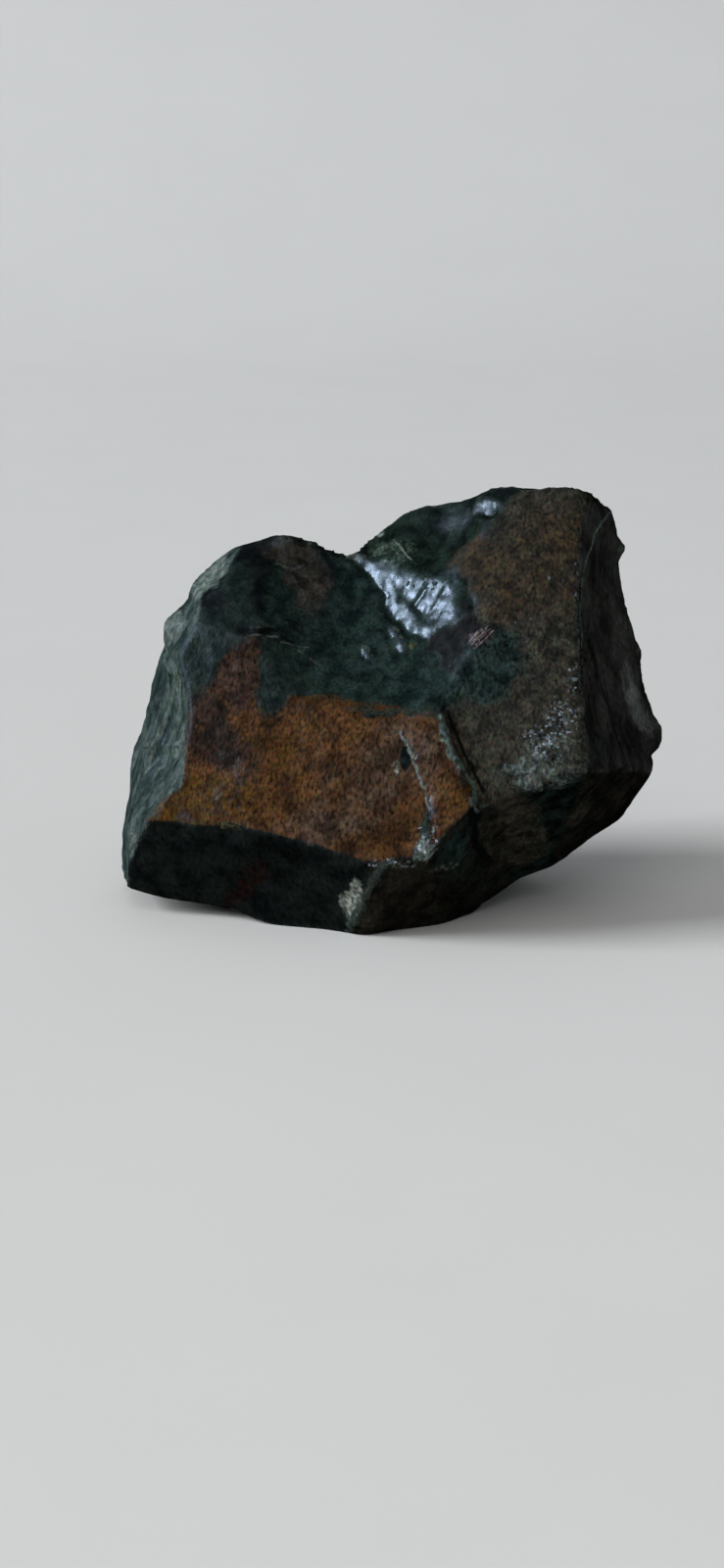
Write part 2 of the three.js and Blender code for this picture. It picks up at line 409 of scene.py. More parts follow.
@dataclass
class Survey:
    """What the carvers and minerals read of the skin."""

    skin: Skin
    noise: Noise
    sides: dict[Side, Array] = field(init=False)
    normals: Array = field(init=False)
    bent: Array = field(init=False)

    BENDS = ((9.0, 2.4), (3.5, 1.3))  # wave length and reach, in millimetres
    BENT_IN_FULL = 6.0  # reach of the smallest patch that is bent as far as that
    AXIS_SHIFT = 30  # keeps the bends along the three axes apart, in millimetres

    def __post_init__(self) -> None:
        """Finds which side each place belongs to, the way it faces, and where noise bends it."""
        self.sides = self.skin.sides()
        self.normals = self.skin.normals()
        self.bent = self.places.copy()
        for length, reach in self.BENDS:
            for axis in range(3):
                shifted = self.places + self.AXIS_SHIFT * (axis + 1)
                self.bent[:, axis] += reach * self.noise.at(shifted, length)

    @property
    def places(self) -> Array:
        """The skin's corner points."""
        return self.skin.places

    def inside(self, patch: Patch) -> Array:
        """How much of a patch each place has, with its outline bent in step with its size."""
        bend = min(1.0, min(patch.reach) / self.BENT_IN_FULL)
        return patch.share(self.places + bend * (self.bent - self.places))

    def blended(self, side: Side, rounds: int) -> Array:
        """How much each place belongs to a side, with a border widened by smoothing."""
        return self.skin.spread(self.sides[side], rounds)

    def share(self, sides: tuple[Side, ...]) -> Array:
        """How much each place belongs to any of these sides."""
        return np.clip(sum(self.sides[side] for side in sides), 0, 1)


class Carver(ABC):
    """Something that takes material off the surface, or adds a little where it is negative."""

    @abstractmethod
    def depth(self, survey: Survey) -> Array:
        """How deep it cuts.

        Args:
            survey: the stone's surface.

        Returns:
            One depth a corner point, in millimetres.
        """


@dataclass(frozen=True)
class Flakes(Carver):
    """Shallow shell-shaped scars side by side, with sharp rims between them."""

    sides: tuple[Side, ...]
    size: float
    deep: float
    sway: float = 0.35

    FLATTEN = 1.25  # how soon a bowl comes up to the surface round it

    def depth(self, survey: Survey) -> Array:
        """Bowls round scattered seeds, on places that noise has bent.

        Args:
            survey: the stone's surface.

        Returns:
            One depth a corner point, in millimetres.
        """
        bend = survey.noise.at(survey.places, self.size)[:, None] * self.size * self.sway
        near = survey.noise.nearest(survey.places + bend, self.size)
        bowl = np.clip(1 - near**2 * self.FLATTEN, 0, 1)
        return self.deep * bowl * survey.share(self.sides)


@dataclass(frozen=True)
class Ripples(Carver):
    """Rings in a shell-shaped break, round the place where the blow fell."""

    sides: tuple[Side, ...]
    struck: Point
    wave: float
    height: float

    WOBBLE = 0.35  # how far the rings stray, in waves
    STRETCH = 14.0  # over what distance they stray
    STRENGTH = 0.6  # how strong they are, and how much stronger or weaker they grow

    def depth(self, survey: Survey) -> Array:
        """Waves that grow weaker and stronger along themselves.

        Args:
            survey: the stone's surface.

        Returns:
            One depth a corner point, in millimetres.
        """
        away = np.linalg.norm(survey.places - np.array(self.struck), axis=1)
        stray = survey.noise.layered(survey.places, self.STRETCH, layers=3) * self.WOBBLE
        swing = self.STRENGTH * survey.noise.at(survey.places, self.STRETCH / 2)
        strength = np.clip(self.STRENGTH + swing, 0, 1)
        rings = np.sin(2 * np.pi * (away / self.wave + stray))
        return self.height * rings * strength * survey.share(self.sides)


@dataclass(frozen=True)
class Grain(Carver):
    """An uneven surface of several sizes, which may run one way."""

    sides: tuple[Side, ...]
    size: float
    height: float
    layers: int
    stretch: Point = (1.0, 1.0, 1.0)

    FADE = 0.6  # height of each layer beside the one before it

    def depth(self, survey: Survey) -> Array:
        """Layered noise, longer along the axes that are stretched.

        Args:
            survey: the stone's surface.

        Returns:
            One depth a corner point, in millimetres.
        """
        places = survey.places / np.array(self.stretch)
        rough = survey.noise.layered(places, self.size, self.layers, self.FADE)
        return self.height * rough * survey.share(self.sides)


@dataclass(frozen=True)
class Hackles(Carver):
    """Torn, ridged ground inside a patch."""

    patch: Patch
    size: float
    deep: float

    def depth(self, survey: Survey) -> Array:
        """Noise folded at zero, so that it has sharp crests."""
        folded = np.abs(survey.noise.layered(survey.places, self.size, layers=3))
        return self.deep * np.clip(folded, 0, 1) * self.patch.share(survey.places)


@dataclass(frozen=True)
class Bump(Carver):
    """A small knob that stands proud."""

    patch: Patch
    height: float

    LUMPS = 3.0  # size of its own unevenness, in millimetres
    UNEVEN = 0.4  # how strong that is, beside its height

    def depth(self, survey: Survey) -> Array:
        """Raises the patch unevenly."""
        uneven = 1 + self.UNEVEN * survey.noise.at(survey.places, self.LUMPS)
        return -self.height * uneven * self.patch.share(survey.places)


@dataclass(frozen=True)
class Groove(Carver):
    """A crack or vein that is cut in, or stands out where its depth is negative."""

    line: Line
    deep: float

    STRAY = 0.6  # how far it strays, in millimetres
    STRAY_LENGTH = 3.5  # and over what distance

    def depth(self, survey: Survey) -> Array:
        """A rounded cut that strays a little from its line.

        Args:
            survey: the stone's surface.

        Returns:
            One depth a corner point, in millimetres.
        """
        stray = survey.noise.layered(survey.places, self.STRAY_LENGTH, layers=2) * self.STRAY
        away = np.abs(self.line.away(survey.places) + stray)
        return self.deep * eased(away, self.line.width, 0)


@dataclass(frozen=True)
class Bevel(Carver):
    """A narrow face along a line, turned to face one way."""

    line: Line
    facing: Point

    MOST = 1.0  # how far it may cut or stand out, in millimetres
    STEEPEST = 0.5  # cosine of the steepest surface that is brought all the way to its plane
    WHOLE = 0.7  # how far from the line it is whole, in widths
    GONE = 1.5  # and where it ends

    def depth(self, survey: Survey) -> Array:
        """How far each place lies over a plane that holds the nearest point of the line.

        Args:
            survey: the stone's surface.

        Returns:
            One depth a corner point, in millimetres.
        """
        gap, _ = self.line.gaps(survey.places)
        out = unit(np.array(self.facing))
        over = gap @ out / np.maximum(survey.normals @ out, self.STEEPEST)
        away = np.linalg.norm(gap, axis=1) / self.line.width
        return np.clip(over, -self.MOST, self.MOST) * eased(away, self.GONE, self.WHOLE)


@dataclass(frozen=True)
class Rounding(Carver):
    """Takes the sharpness out of the edges inside a patch."""

    patch: Patch
    rounds: int

    def depth(self, survey: Survey) -> Array:
        """How far each place stands out of its surroundings."""
        return survey.skin.crests(self.rounds) * self.patch.share(survey.places)


@dataclass(frozen=True)
class ChippedEdges(Carver):
    """Sharp edges knocked back in small bites."""

    deep: float = 0.55
    size: float = 4.0
    softening: int = 10  # rounds of smoothing that show how proud an edge stands
    first: float = 0.12  # how proud an edge stands before it is touched
    full: float = 0.55  # and before it is chipped to the full depth

    MIDDLE = 1.1  # depth in the middle of a bite, cut off at the full depth
    STEEP = 1.6  # how soon a bite comes up to the surface round it

    def depth(self, survey: Survey) -> Array:
        """Small flake scars, only where the surface stands proud.

        Args:
            survey: the stone's surface.

        Returns:
            One depth a corner point, in millimetres.
        """
        edge = eased(survey.skin.crests(self.softening), self.first, self.full)
        near = survey.noise.nearest(survey.places, self.size)
        bite = np.clip(self.MIDDLE - near**2 * self.STEEP, 0, 1)
        return self.deep * edge * bite


@dataclass(frozen=True)
class Mineral:
    """Rock of one colour, and where it lies.

    dark and light are its two tones, mottle the size of its mottling in millimetres and run how
    much longer that is along each axis. ragged is how far noise moves its border, soft how wide
    the border is, and blend how many rounds of smoothing widen the borders of whole sides. sides
    and patches say how much of it lies where. scatter strews it over some sides: which they are,
    the size of its spots, and how much of it they hold.
    """

    name: str
    dark: Colour
    light: Colour
    roughness: float
    mottle: float
    ragged: float = 1.2
    soft: float = 0.25
    blend: int = 0
    run: Point = (1.0, 1.0, 1.0)
    sides: tuple[tuple[Side, float], ...] = ()
    patches: tuple[Patch, ...] = ()
    scatter: tuple[tuple[Side, ...], float, float] = ((), 1.0, 0.0)

    BORDER = 0.5  # amount in the middle of its border
    MOST = 1.5  # the amount goes no higher where several of its patches meet
    SPOT_SHIFT = 50  # keeps scattered spots apart from other noise, in millimetres
    SPOT_NOISE = (0.1, 0.7)  # noise at which a scattered spot begins and is whole

    @property
    def border(self) -> Span:
        """Amounts at which its border begins and ends."""
        return self.BORDER - self.soft, self.BORDER + self.soft

    def amount(self, survey: Survey) -> Array:
        """How much of this mineral there is.

        Args:
            survey: the stone's surface.

        Returns:
            One amount a corner point.
        """
        total = np.zeros(len(survey.places))
        for side, share in self.sides:
            total += survey.blended(side, self.blend) * share
        for patch in self.patches:
            total += survey.inside(patch)
        sides, size, share = self.scatter
        if sides:
            drift = survey.noise.layered(survey.places + self.SPOT_SHIFT, size, layers=3)
            total += share * eased(drift, *self.SPOT_NOISE) * survey.share(sides)
        return np.clip(total, 0, self.MOST)


@dataclass(frozen=True)
class Vein:
    """Thin lines of another colour."""

    name: str
    colour: Colour
    roughness: float
    lines: tuple[Line, ...]
    stray: float = 1.6  # how far it wanders, in parts of its width
    gaps: float = 0.43  # the share of noise below which it breaks off

    FARTHEST = 6.0  # distance that stands for all that are larger, in widths

    @property
    def beside(self) -> str:
        """Name of the mark that tells left from right."""
        return self.name + "_beside"

    def marks(self, survey: Survey) -> tuple[Array, Array]:
        """Distances to the nearest line, in parts of its width.

        Args:
            survey: the stone's surface.

        Returns:
            The distance away, and the distance to the left or right.
        """
        away = np.full(len(survey.places), self.FARTHEST)
        beside = np.full(len(survey.places), self.FARTHEST)
        for line in self.lines:
            gap, run = line.gaps(survey.places)
            here = np.linalg.norm(gap, axis=1) / line.width
            left = (gap * unit(np.cross(survey.normals, run))).sum(axis=1) / line.width
            nearer = here < away
            away = np.where(nearer, here, away)
            beside = np.where(nearer, left, beside)
        return away, beside


# Minerals, each painted over the ones before it. A few of their patches are painted shade or
# highlights.
OLIVE = Mineral(
    "olive", (0.012, 0.011, 0.0066), (0.037, 0.034, 0.023), 0.75, 3.0, ragged=1.0, blend=16,
    sides=((Side.LOBE, 1.0), (Side.SCOOP, 0.1), (Side.LEDGE, 0.5)),
    patches=(
        Patch((22.5, -27.0, 25.5), (7, 8, 8), 1.0),
        Patch((26.0, -18.0, 15.5), (7, 8, 7), 1.0),
        Patch((38.9, -17.0, 22.5), (4, 6, 5), 0.7),
    ),
    scatter=(REAR, 22.0, 0.7),
)
UMBER = Mineral(
    "umber", (0.013, 0.0095, 0.005), (0.042, 0.029, 0.0145), 0.85, 2.4, ragged=0.9, soft=0.45,
    patches=(
        Patch((30, -9, 72), (11, 8, 12), 0.62),
        Patch((36, -4, 80), (7, 6, 6), 0.4),
        Patch((22, -14, 63), (5, 5, 7), 0.5),
        Patch((16, -6, 73), (5, 5, 5), 0.7),
        Patch((17.2, -7.5, 70.0), (3, 5, 6), 0.7),
    ),
)
TEAL = Mineral(
    "teal", (0.0045, 0.0094, 0.0088), (0.0160, 0.0295, 0.0262), 0.26, 3.6, ragged=1.2, soft=0.3,
    blend=40,
    sides=((Side.HOLLOW, 1.0), (Side.HOLLOW_RIGHT, 0.95), (Side.LUMP_SIDE, 0.6)),
    patches=(
        Patch((21, -18, 56.5), (6.5, 5, 6.5), 0.7),
        Patch((16, -21, 50.5), (9, 5, 5), 0.8),
        Patch((-11.0, 0.5, 63.5), (5, 7, 6), 0.7),
        Patch((-8.6, -3.4, 59.2), (5, 6, 5), 0.5),
        Patch((-14.0, -7.6, 56.4), (4, 5, 4), 0.4),
    ),
    scatter=(REAR, 18.0, 0.8),
)
COAL = Mineral(
    "coal", (0.0018, 0.0024, 0.0027), (0.0062, 0.0078, 0.0084), 0.36, 4.0, ragged=0.9, soft=0.3,
    blend=12,
    sides=((Side.LUMP, 0.95), (Side.LEFT_PEAK, 0.95)),
)
BROWN = Mineral(
    "brown", (0.013, 0.0112, 0.0094), (0.042, 0.0370, 0.0305), 0.42, 3.0, ragged=1.0, soft=0.5,
    patches=(
        Patch((-15.9, 2.8, 68.0), (4.6, 5, 5.0), 0.9),
        Patch((-16.2, -1.4, 63.8), (3.8, 4, 3.6), 0.62),
        Patch((-21.0, 7.0, 72.4), (5, 4, 2.0), 0.85),
    ),
)
RUST = Mineral(
    "rust", (0.025, 0.0108, 0.0034), (0.079, 0.0350, 0.0115), 0.27, 4.5, ragged=0.9,
    sides=((Side.FRONT, 1.0),),
    patches=(
        Patch((-5, -24.5, 39.5), (3, 4, 5), 0.9),
        Patch((-13.5, -18.0, 46.1), (5, 3, 1.5), 0.5),
        Patch((-6.0, -20.4, 45.5), (5, 3, 1.5), 0.5),
        Patch((1.0, -22.3, 45.3), (4, 3, 1.2), 0.4),
    ),
    scatter=((Side.BACK_LEFT, Side.BACK_TOP_LEFT, Side.BACK), 20.0, 0.9),
)
ORANGE = Mineral(
    "orange", (0.026, 0.0115, 0.0018), (0.068, 0.033, 0.0050), 0.27, 3.0, ragged=1.5, soft=0.4,
    patches=(
        Patch((-44, -21, 24.5), (7, 5, 4.5), 1.0),
        Patch((-34, -22, 27), (8, 6, 5), 1.0),
        Patch((-20, -20, 36), (8, 8, 9), 0.42),
        Patch((13.5, -34, 29.5), (3, 4, 3), 0.6),
        Patch((35.9, -11.2, 12.5), (2, 2, 1.6), 0.5),
    ),
)
ROSE = Mineral(
    "rose", (0.016, 0.0088, 0.0062), (0.046, 0.026, 0.0185), 0.27, 2.5, ragged=1.3, soft=0.4,
    patches=(
        Patch((-31.2, -12.3, 49.5), (4.0, 5, 7.0), 1.0),
        Patch((16.9, -16.2, 59.2), (3.4, 3, 2.4), 0.6),
    ),
)
CLAY = Mineral(
    "clay", (0.024, 0.0145, 0.0094), (0.074, 0.0465, 0.0300), 0.27, 3.0, ragged=1.4, soft=0.5,
    patches=(
        Patch((4.0, -27.0, 36.0), (10, 7, 9), 0.75),
        Patch((-7, -28.0, 27.0), (9, 6, 8), 0.62),
        Patch((-16, -30, 22.5), (8, 5, 3), 0.55),
    ),
)
PLUM = Mineral(
    "plum", (0.0090, 0.0056, 0.0038), (0.030, 0.0175, 0.0115), 0.25, 3.0, ragged=1.3, soft=0.45,
    patches=(
        Patch((-36.5, -15.5, 39), (6.5, 6, 6), 0.95),
        Patch((-38.5, -12.0, 44.5), (5.0, 5, 3.6), 0.9),
        Patch((-30, -19, 34), (5, 5, 4), 0.5),
        Patch((16.4, -16.5, 58.4), (4, 4, 2.6), 0.5),
        Patch((-31.7, -9.6, 56.0), (4.5, 4, 2.6), 0.85),
    ),
    scatter=((Side.BACK_TOP_LEFT, Side.BACK_RIGHT), 16.0, 0.6),
)
JADE = Mineral(
    "jade", (0.0045, 0.0092, 0.0082), (0.0135, 0.0225, 0.0190), 0.32, 3.0, ragged=0.9, soft=0.45,
    patches=(
        Patch((-39, -9, 51.5), (4.8, 5, 7), 1.1),
        Patch((-36, -8.0, 56.5), (7, 4, 3), 0.9),
        Patch((-42.5, -6.5, 53.5), (3, 4, 3.5), 1.1),
        Patch((-38, -4, 60), (4, 4, 3), 0.8),
        Patch((-31.6, 1.2, 67.2), (3.4, 5, 5.0), 1.0),
        Patch((-31.2, -5.0, 62.0), (3.4, 4, 4.0), 0.8),
        Patch((-30.0, -8.0, 59.8), (6, 3, 1.6), 1.0),
        Patch((-24.5, -12.5, 53), (3.4, 4, 4), 1.0),
        Patch((-24.2, -15.5, 46.5), (3.4, 5, 5.5), 1.05),
        Patch((-19.5, -15.0, 49.0), (5, 4, 2.6), 0.9),
        Patch((42, -22, 37.0), (5, 7, 4), 0.8),
        Patch((6.8, -34.6, 23.4), (1.3, 2.4, 3.4), 0.8),
        Patch((7.4, -32.9, 27.6), (0.9, 2.4, 2.6), 0.7),
        Patch((36, -12.6, 14.5), (3, 3, 2), 0.5),
    ),
)
MOSS = Mineral(
    "moss", (0.005, 0.012, 0.008), (0.030, 0.052, 0.038), 0.32, 1.4, ragged=2.0, soft=0.3,
    patches=(
        Patch((0.0, 5.5, 72), (6, 7, 3.5), 0.60),
        Patch((6, -12, 55.4), (5, 4, 2.0), 0.26),
        Patch((11.2, -14.7, 55.2), (1.4, 1.6, 1.2), 0.6),
        Patch((-40, -6.5, 57.5), (3, 4, 3), 0.35),
    ),
)
PALE = Mineral(
    "pale", (0.010, 0.0215, 0.0190), (0.056, 0.079, 0.071), 0.50, 2.2, ragged=1.3, soft=0.35,
    run=(1.0, 1.0, 3.0),
    sides=((Side.LEFT, 0.85), (Side.LEFT_LOW, 0.85), (Side.LEFT_TOP, 1.0)),
    patches=(
        Patch((-35.5, 11.8, 69.8), (2.6, 4, 3), 1.0),
        Patch((-38.4, 9.7, 67.2), (2.6, 4, 3), 1.0),
        Patch((-40.2, 7.0, 64.8), (2.4, 4, 3), 1.0),
        Patch((-33.5, 12.5, 71.8), (3.0, 4, 2.4), 1.0),
        Patch((-44, -16.5, 31.0), (2.4, 4, 4.4), 1.1),
        Patch((-34.5, 9.0, 69.0), (2.4, 4, 3), 1.0),
        Patch((-36.6, 5.5, 66.0), (2.0, 4, 2.4), 0.9),
    ),
)
SEA = Mineral(
    "sea", (0.0055, 0.0125, 0.0108), (0.018, 0.034, 0.029), 0.52, 2.4, ragged=1.3, soft=0.4,
    run=(1.0, 1.0, 3.0),
    patches=(
        Patch((-49, 3.5, 44.0), (2.6, 6, 5.5), 0.9),
        Patch((-47.6, -2.7, 36.0), (2.0, 3, 4.0), 0.95),
        Patch((-52.0, -6.5, 25.0), (2.4, 5, 5.0), 0.8),
        Patch((-49.5, -5.5, 30.5), (2.0, 3, 2.4), 0.8),
        Patch((13.2, -31.5, 19.0), (4, 5, 4), 0.9),
    ),
)
SHADE = Mineral(
    "shade", (0.0040, 0.0044, 0.0042), (0.0125, 0.0125, 0.0115), 0.90, 2.4, ragged=1.2, soft=0.4,
    patches=(
        Patch((12.2, -17.0, 53.6), (2.8, 3, 3.0), 0.9),
        Patch((9.2, -11.2, 56.6), (1.8, 2.4, 1.6), 0.8),
        Patch((11.6, -13.0, 57.6), (3.8, 4, 4.0), 1.0),
        Patch((15.6, -13.8, 61.0), (2.4, 3, 2.4), 0.9),
    ),
)
BLACK = Mineral(
    "black", (0.0024, 0.0036, 0.0032), (0.0072, 0.0105, 0.0090), 0.40, 5.0, ragged=0.8, soft=0.2,
    sides=((Side.LOW_FRONT, 1.0),),
    patches=(
        Patch((41.5, -2, 79.5), (1.8, 3, 6), 0.8),
        # Painted shadow along the neck crack under the lump.
        Patch((-28.5, -8.6, 58.6), (6, 3, 0.9), 0.8),
        Patch((3.0, -28.0, 36.2), (1.2, 1.8, 3.4), 1.1),
    ),
)
SOOT = Mineral(
    "soot", (0.0070, 0.0062, 0.0042), (0.0185, 0.0165, 0.0115), 0.44, 3.6, ragged=1.0, soft=0.3,
    sides=(
        (Side.CHIN, 1.0), (Side.CHIN_SIDE, 1.0), (Side.CHIN_WEDGE, 0.55), (Side.HIP_SIDE, 0.85),
    ),
    patches=(
        Patch((13.2, -31.5, 19.0), (4, 5, 4), -0.7),
        Patch((38.9, -17.0, 22.5), (4, 6, 5), -0.6),
    ),
)
SLATE = Mineral(
    "slate", (0.0105, 0.0105, 0.0095), (0.033, 0.033, 0.030), 0.44, 5.0, ragged=1.0, soft=0.3,
    run=(1.0, 1.0, 2.0),
    sides=((Side.RIGHT, 1.0),),
    patches=(Patch((42, -22, 37.0), (4, 7, 3.5), -0.6),),
)
# Painted sheen: pale bands down the dark right face, standing in for a soft reflection of the pale
# surroundings.
PAINTED_SHEEN = Mineral(
    "painted_sheen", (0.050, 0.054, 0.052), (0.115, 0.122, 0.116), 0.40, 4.0, ragged=0.6, soft=0.5,
    patches=(
        Patch((50, -0.5, 46.5), (2.4, 3, 4.5), 0.55),
        Patch((52.0, 0.6, 41.0), (2.6, 3, 5), 0.7),
        Patch((54.0, 1.6, 36.4), (2.2, 3, 3), 0.45),
    ),
)
# Pale frosted rock, and painted highlights in some of its patches.
FROST_AND_SHINE = Mineral(
    "frost_and_shine", (0.050, 0.066, 0.060), (0.140, 0.172, 0.158), 0.50, 1.6, ragged=1.6, soft=0.4,
    run=(1.0, 1.0, 2.0),
    patches=(
        Patch((-36.0, 10.0, 69.0), (2.4, 5, 3.0), 0.8),
        Patch((-39.4, 7.0, 64.6), (2.4, 5, 3.4), 0.8),
        Patch((-43.6, 3.0, 57.5), (1.6, 5, 4.0), 0.6),
        Patch((-45.8, 6.0, 56.0), (2.4, 5, 4.0), 0.75),
        Patch((-43.6, -11.0, 36.5), (1.6, 3, 5.5), 0.5),
        Patch((-44.2, -6.4, 46.5), (1.4, 2.4, 5.0), 0.5),
        Patch((-53.5, -12.0, 16.0), (2.4, 4, 6.0), 0.4),
        # Painted highlights: small bright bluish spots at the notch between the lump and the saddle.
        Patch((-7.6, 8.7, 70.9), (1.5, 2, 0.8), 0.8),
        Patch((-2.0, 12.6, 75.3), (0.9, 1.4, 0.6), 0.9),
        Patch((6.1, -36.8, 20.0), (2.4, 2.6, 2.2), 0.95),
        Patch((10.4, -27.6, 41.6), (1.1, 1.8, 2.8), 0.8),
        Patch((31.0, -29.5, 37.0), (7, 5, 5), 0.30),
        Patch((27.0, -30.8, 34.0), (9, 4, 2.4), 0.30),
    ),
)
STRAW = Mineral(
    "straw", (0.030, 0.028, 0.010), (0.080, 0.076, 0.030), 0.45, 1.2, ragged=1.8, soft=0.3,
    patches=(
        Patch((-31.5, -25.8, 22.3), (4.5, 2, 1.0), 0.6),
        Patch((4.8, -9.8, 55.7), (1.2, 1.4, 1.0), 0.45),
    ),
)
BLOOD = Mineral(
    "blood", (0.0045, 0.0018, 0.0014), (0.0150, 0.0040, 0.0032), 0.40, 1.8, ragged=1.1, soft=0.45,
    patches=(
        Patch((-27.1, -24.5, 12.6), (2.4, 3, 3.0), 0.62),
        Patch((-30.0, -22.0, 8.8), (2.4, 3, 3.0), 0.66),
        Patch((-32.4, -19.4, 5.0), (2.4, 3, 2.6), 0.58),
        Patch((8, -26, 8), (9, 4, 3), 0.35),
    ),
    scatter=(REAR + (Side.BASE,), 6.0, 0.8),
)
QUARTZ = Mineral(
    "quartz", (0.06, 0.068, 0.058), (0.23, 0.25, 0.215), 0.40, 1.0, ragged=1.8, soft=0.4,
    patches=(
        Patch((-7.0, -32.9, 10.8), (1.2, 2.5, 3.0), 0.85),
        Patch((-8.5, -30.6, 6.6), (1.8, 2.8, 3.2), 0.95),
        Patch((0.9, -28.2, 34.7), (0.7, 1.4, 1.8), 0.85),
        Patch((7.0, -36, 21), (2.6, 3, 3.0), 0.30),
        Patch((1.0, -36.4, 17.0), (6, 2, 1.0), 0.34),
        Patch((11, -30, 14.9), (5, 5, 0.9), 0.30),
        Patch((0.0, 5.5, 72), (6, 7, 3.5), 0.20),
        Patch((33, -25, 44), (6, 5, 7), 0.14),
    ),
)
MINERALS = (
    OLIVE, UMBER, TEAL, COAL, BROWN, RUST, ORANGE, ROSE, CLAY, PLUM, JADE, MOSS, PALE, SEA, SHADE,
    BLACK, SOOT, SLATE, PAINTED_SHEEN, FROST_AND_SHINE, STRAW, BLOOD, QUARTZ,
)

# Lines on the stone, each through a few points of its surface.
FISSURE = ((2.3, -25.8, 40.6), (4.2, -28.2, 36.6), (6.8, -31.7, 30.5), (8.3, -35.3, 24.3))
LEDGE_RIM = ((10.6, -27.3, 42.8), (11.8, -30.3, 38.0), (15.8, -31.4, 31.3), (16.3, -35.4, 29.3))
LEDGE_FOOT = ((11.8, -24.5, 44.0), (13.8, -27.2, 38.5), (17.6, -30.6, 31.5))
CHIN_RIDGE = (
    (-1.5, -36.0, 16.3), (-3.7, -34.7, 13.0), (-5.4, -32.9, 8.9), (-6.8, -30.7, 4.9), (-8.4, -28.6, 1.5)
)
HIP_BORDER = ((16.0, -34.5, 27.0), (17.0, -30.0, 22.0), (17.9, -26.0, 17.5), (20.0, -21.0, 13.7))
DOME_RIM = ((31.5, -31.8, 32.5), (32.5, -27.0, 27.0), (31.0, -20.0, 19.0), (27.6, -10.5, 7.5))
RIGHT_STEP = ((46.5, -1.0, 66.0), (45.5, -6.0, 54.0), (46.0, -9.0, 44.0), (47.5, -9.0, 34.0))
NECK_CRACK = ((-30.4, -8.6, 58.2), (-26.1, -9.2, 58.3), (-21.9, -8.6, 57.8), (-17.6, -9.2, 55.9))
RIGHT_RIDGE = (
    (46.0, 4.6, 80.9), (44.2, 0.8, 79.7), (42.8, -1.3, 78.0), (41.7, -3.2, 75.7), (40.7, -6.3, 73.2),
    (39.5, -9.2, 68.7), (39.2, -10.6, 65.4), (38.9, -13.4, 61.4), (38.7, -16.5, 57.9),
)
LEFT_RIDGE = (
    (-47.1, 3.2, 50.4), (-44.6, -5.9, 48.7), (-45.2, -4.1, 44.2), (-46.7, -2.8, 39.7),
    (-48.0, -2.6, 35.5), (-50.6, -3.5, 29.3),
)
LEFT_STEP = ((-51.8, 0.0, 32.2), (-47.6, -4.3, 33.3), (-42.9, -13.4, 35.5))
SADDLE_LINE = ((-7.0, 8.2, 70.5), (-4.5, 5.8, 68.6), (-2.4, 2.8, 66.4), (-0.3, 0.2, 64.7))
SADDLE_FOOT = ((0.3, -1.6, 62.8), (2.2, -4.2, 60.6), (4.5, -6.6, 58.9), (6.9, -8.4, 58.6))

# Veins, each drawn over the ones before it. Some are painted shade in creases or painted highlights
# along ridges.
VEINS = (
    Vein(
        "white_lines", (0.105, 0.125, 0.118), 0.40,
        (
            Line(FISSURE, 0.46),
            Line(((1.0, 8.7, 74.3), (2.4, 5.6, 73.1), (4.0, 3.2, 71.6)), 0.26),
        ),
        stray=2.0, gaps=0.46,
    ),
    Vein(
        "pink_lines", (0.11, 0.095, 0.105), 0.40,
        (
            Line(((13.6, -17.4, 56.4), (17.6, -15.6, 60.4)), 0.26),
            Line(((15.6, -17.2, 57.0), (19.0, -15.4, 60.6)), 0.26),
            Line(((17.0, -17.4, 56.8), (20.2, -15.8, 60.0)), 0.20),
        ),
        gaps=0.5,
    ),
    Vein(
        "faint_lines", (0.042, 0.048, 0.042), 0.42,
        (
            Line(((-22.8, 3.2, 70.3), (-20.0, 3.0, 69.6), (-18.5, 4.3, 70.1)), 0.4),
            Line(((-28.3, -9.2, 58.3), (-24.7, -9.2, 57.9)), 0.4),
            Line(((-21.8, -9.7, 56.6), (-17.6, -9.2, 55.9)), 0.3),
            Line(((-18.4, -10.2, 54.6), (-15.2, -11.6, 52.6)), 0.3),
        ),
    ),
    # Pale lines along the ledge's rim and the left and right ridges: partly a translucent rim, partly a
    # painted highlight where the edges catch the light.
    Vein(
        "pale_and_lit_ridges", (0.060, 0.080, 0.070), 0.42,
        (
            Line(LEDGE_RIM, 1.0),
            Line(LEFT_RIDGE, 0.8),
            Line(RIGHT_RIDGE, 0.42),
        ),
        stray=0.8, gaps=0.34,
    ),
    # Painted shade: dark lines in the creases at the hip's border and at the ledge's foot.
    Vein(
        "crease_shade_lines", (0.0035, 0.0058, 0.0050), 0.60,
        (
            Line(HIP_BORDER, 0.8),
            Line(LEDGE_FOOT, 0.7),
        ),
        stray=0.8, gaps=0.3,
    ),
    Vein(
        "green_lines", (0.026, 0.038, 0.033), 0.42,
        (
            Line(CHIN_RIDGE, 0.8),
            Line(LEFT_STEP, 0.5),
        ),
        stray=2.4,
    ),
)

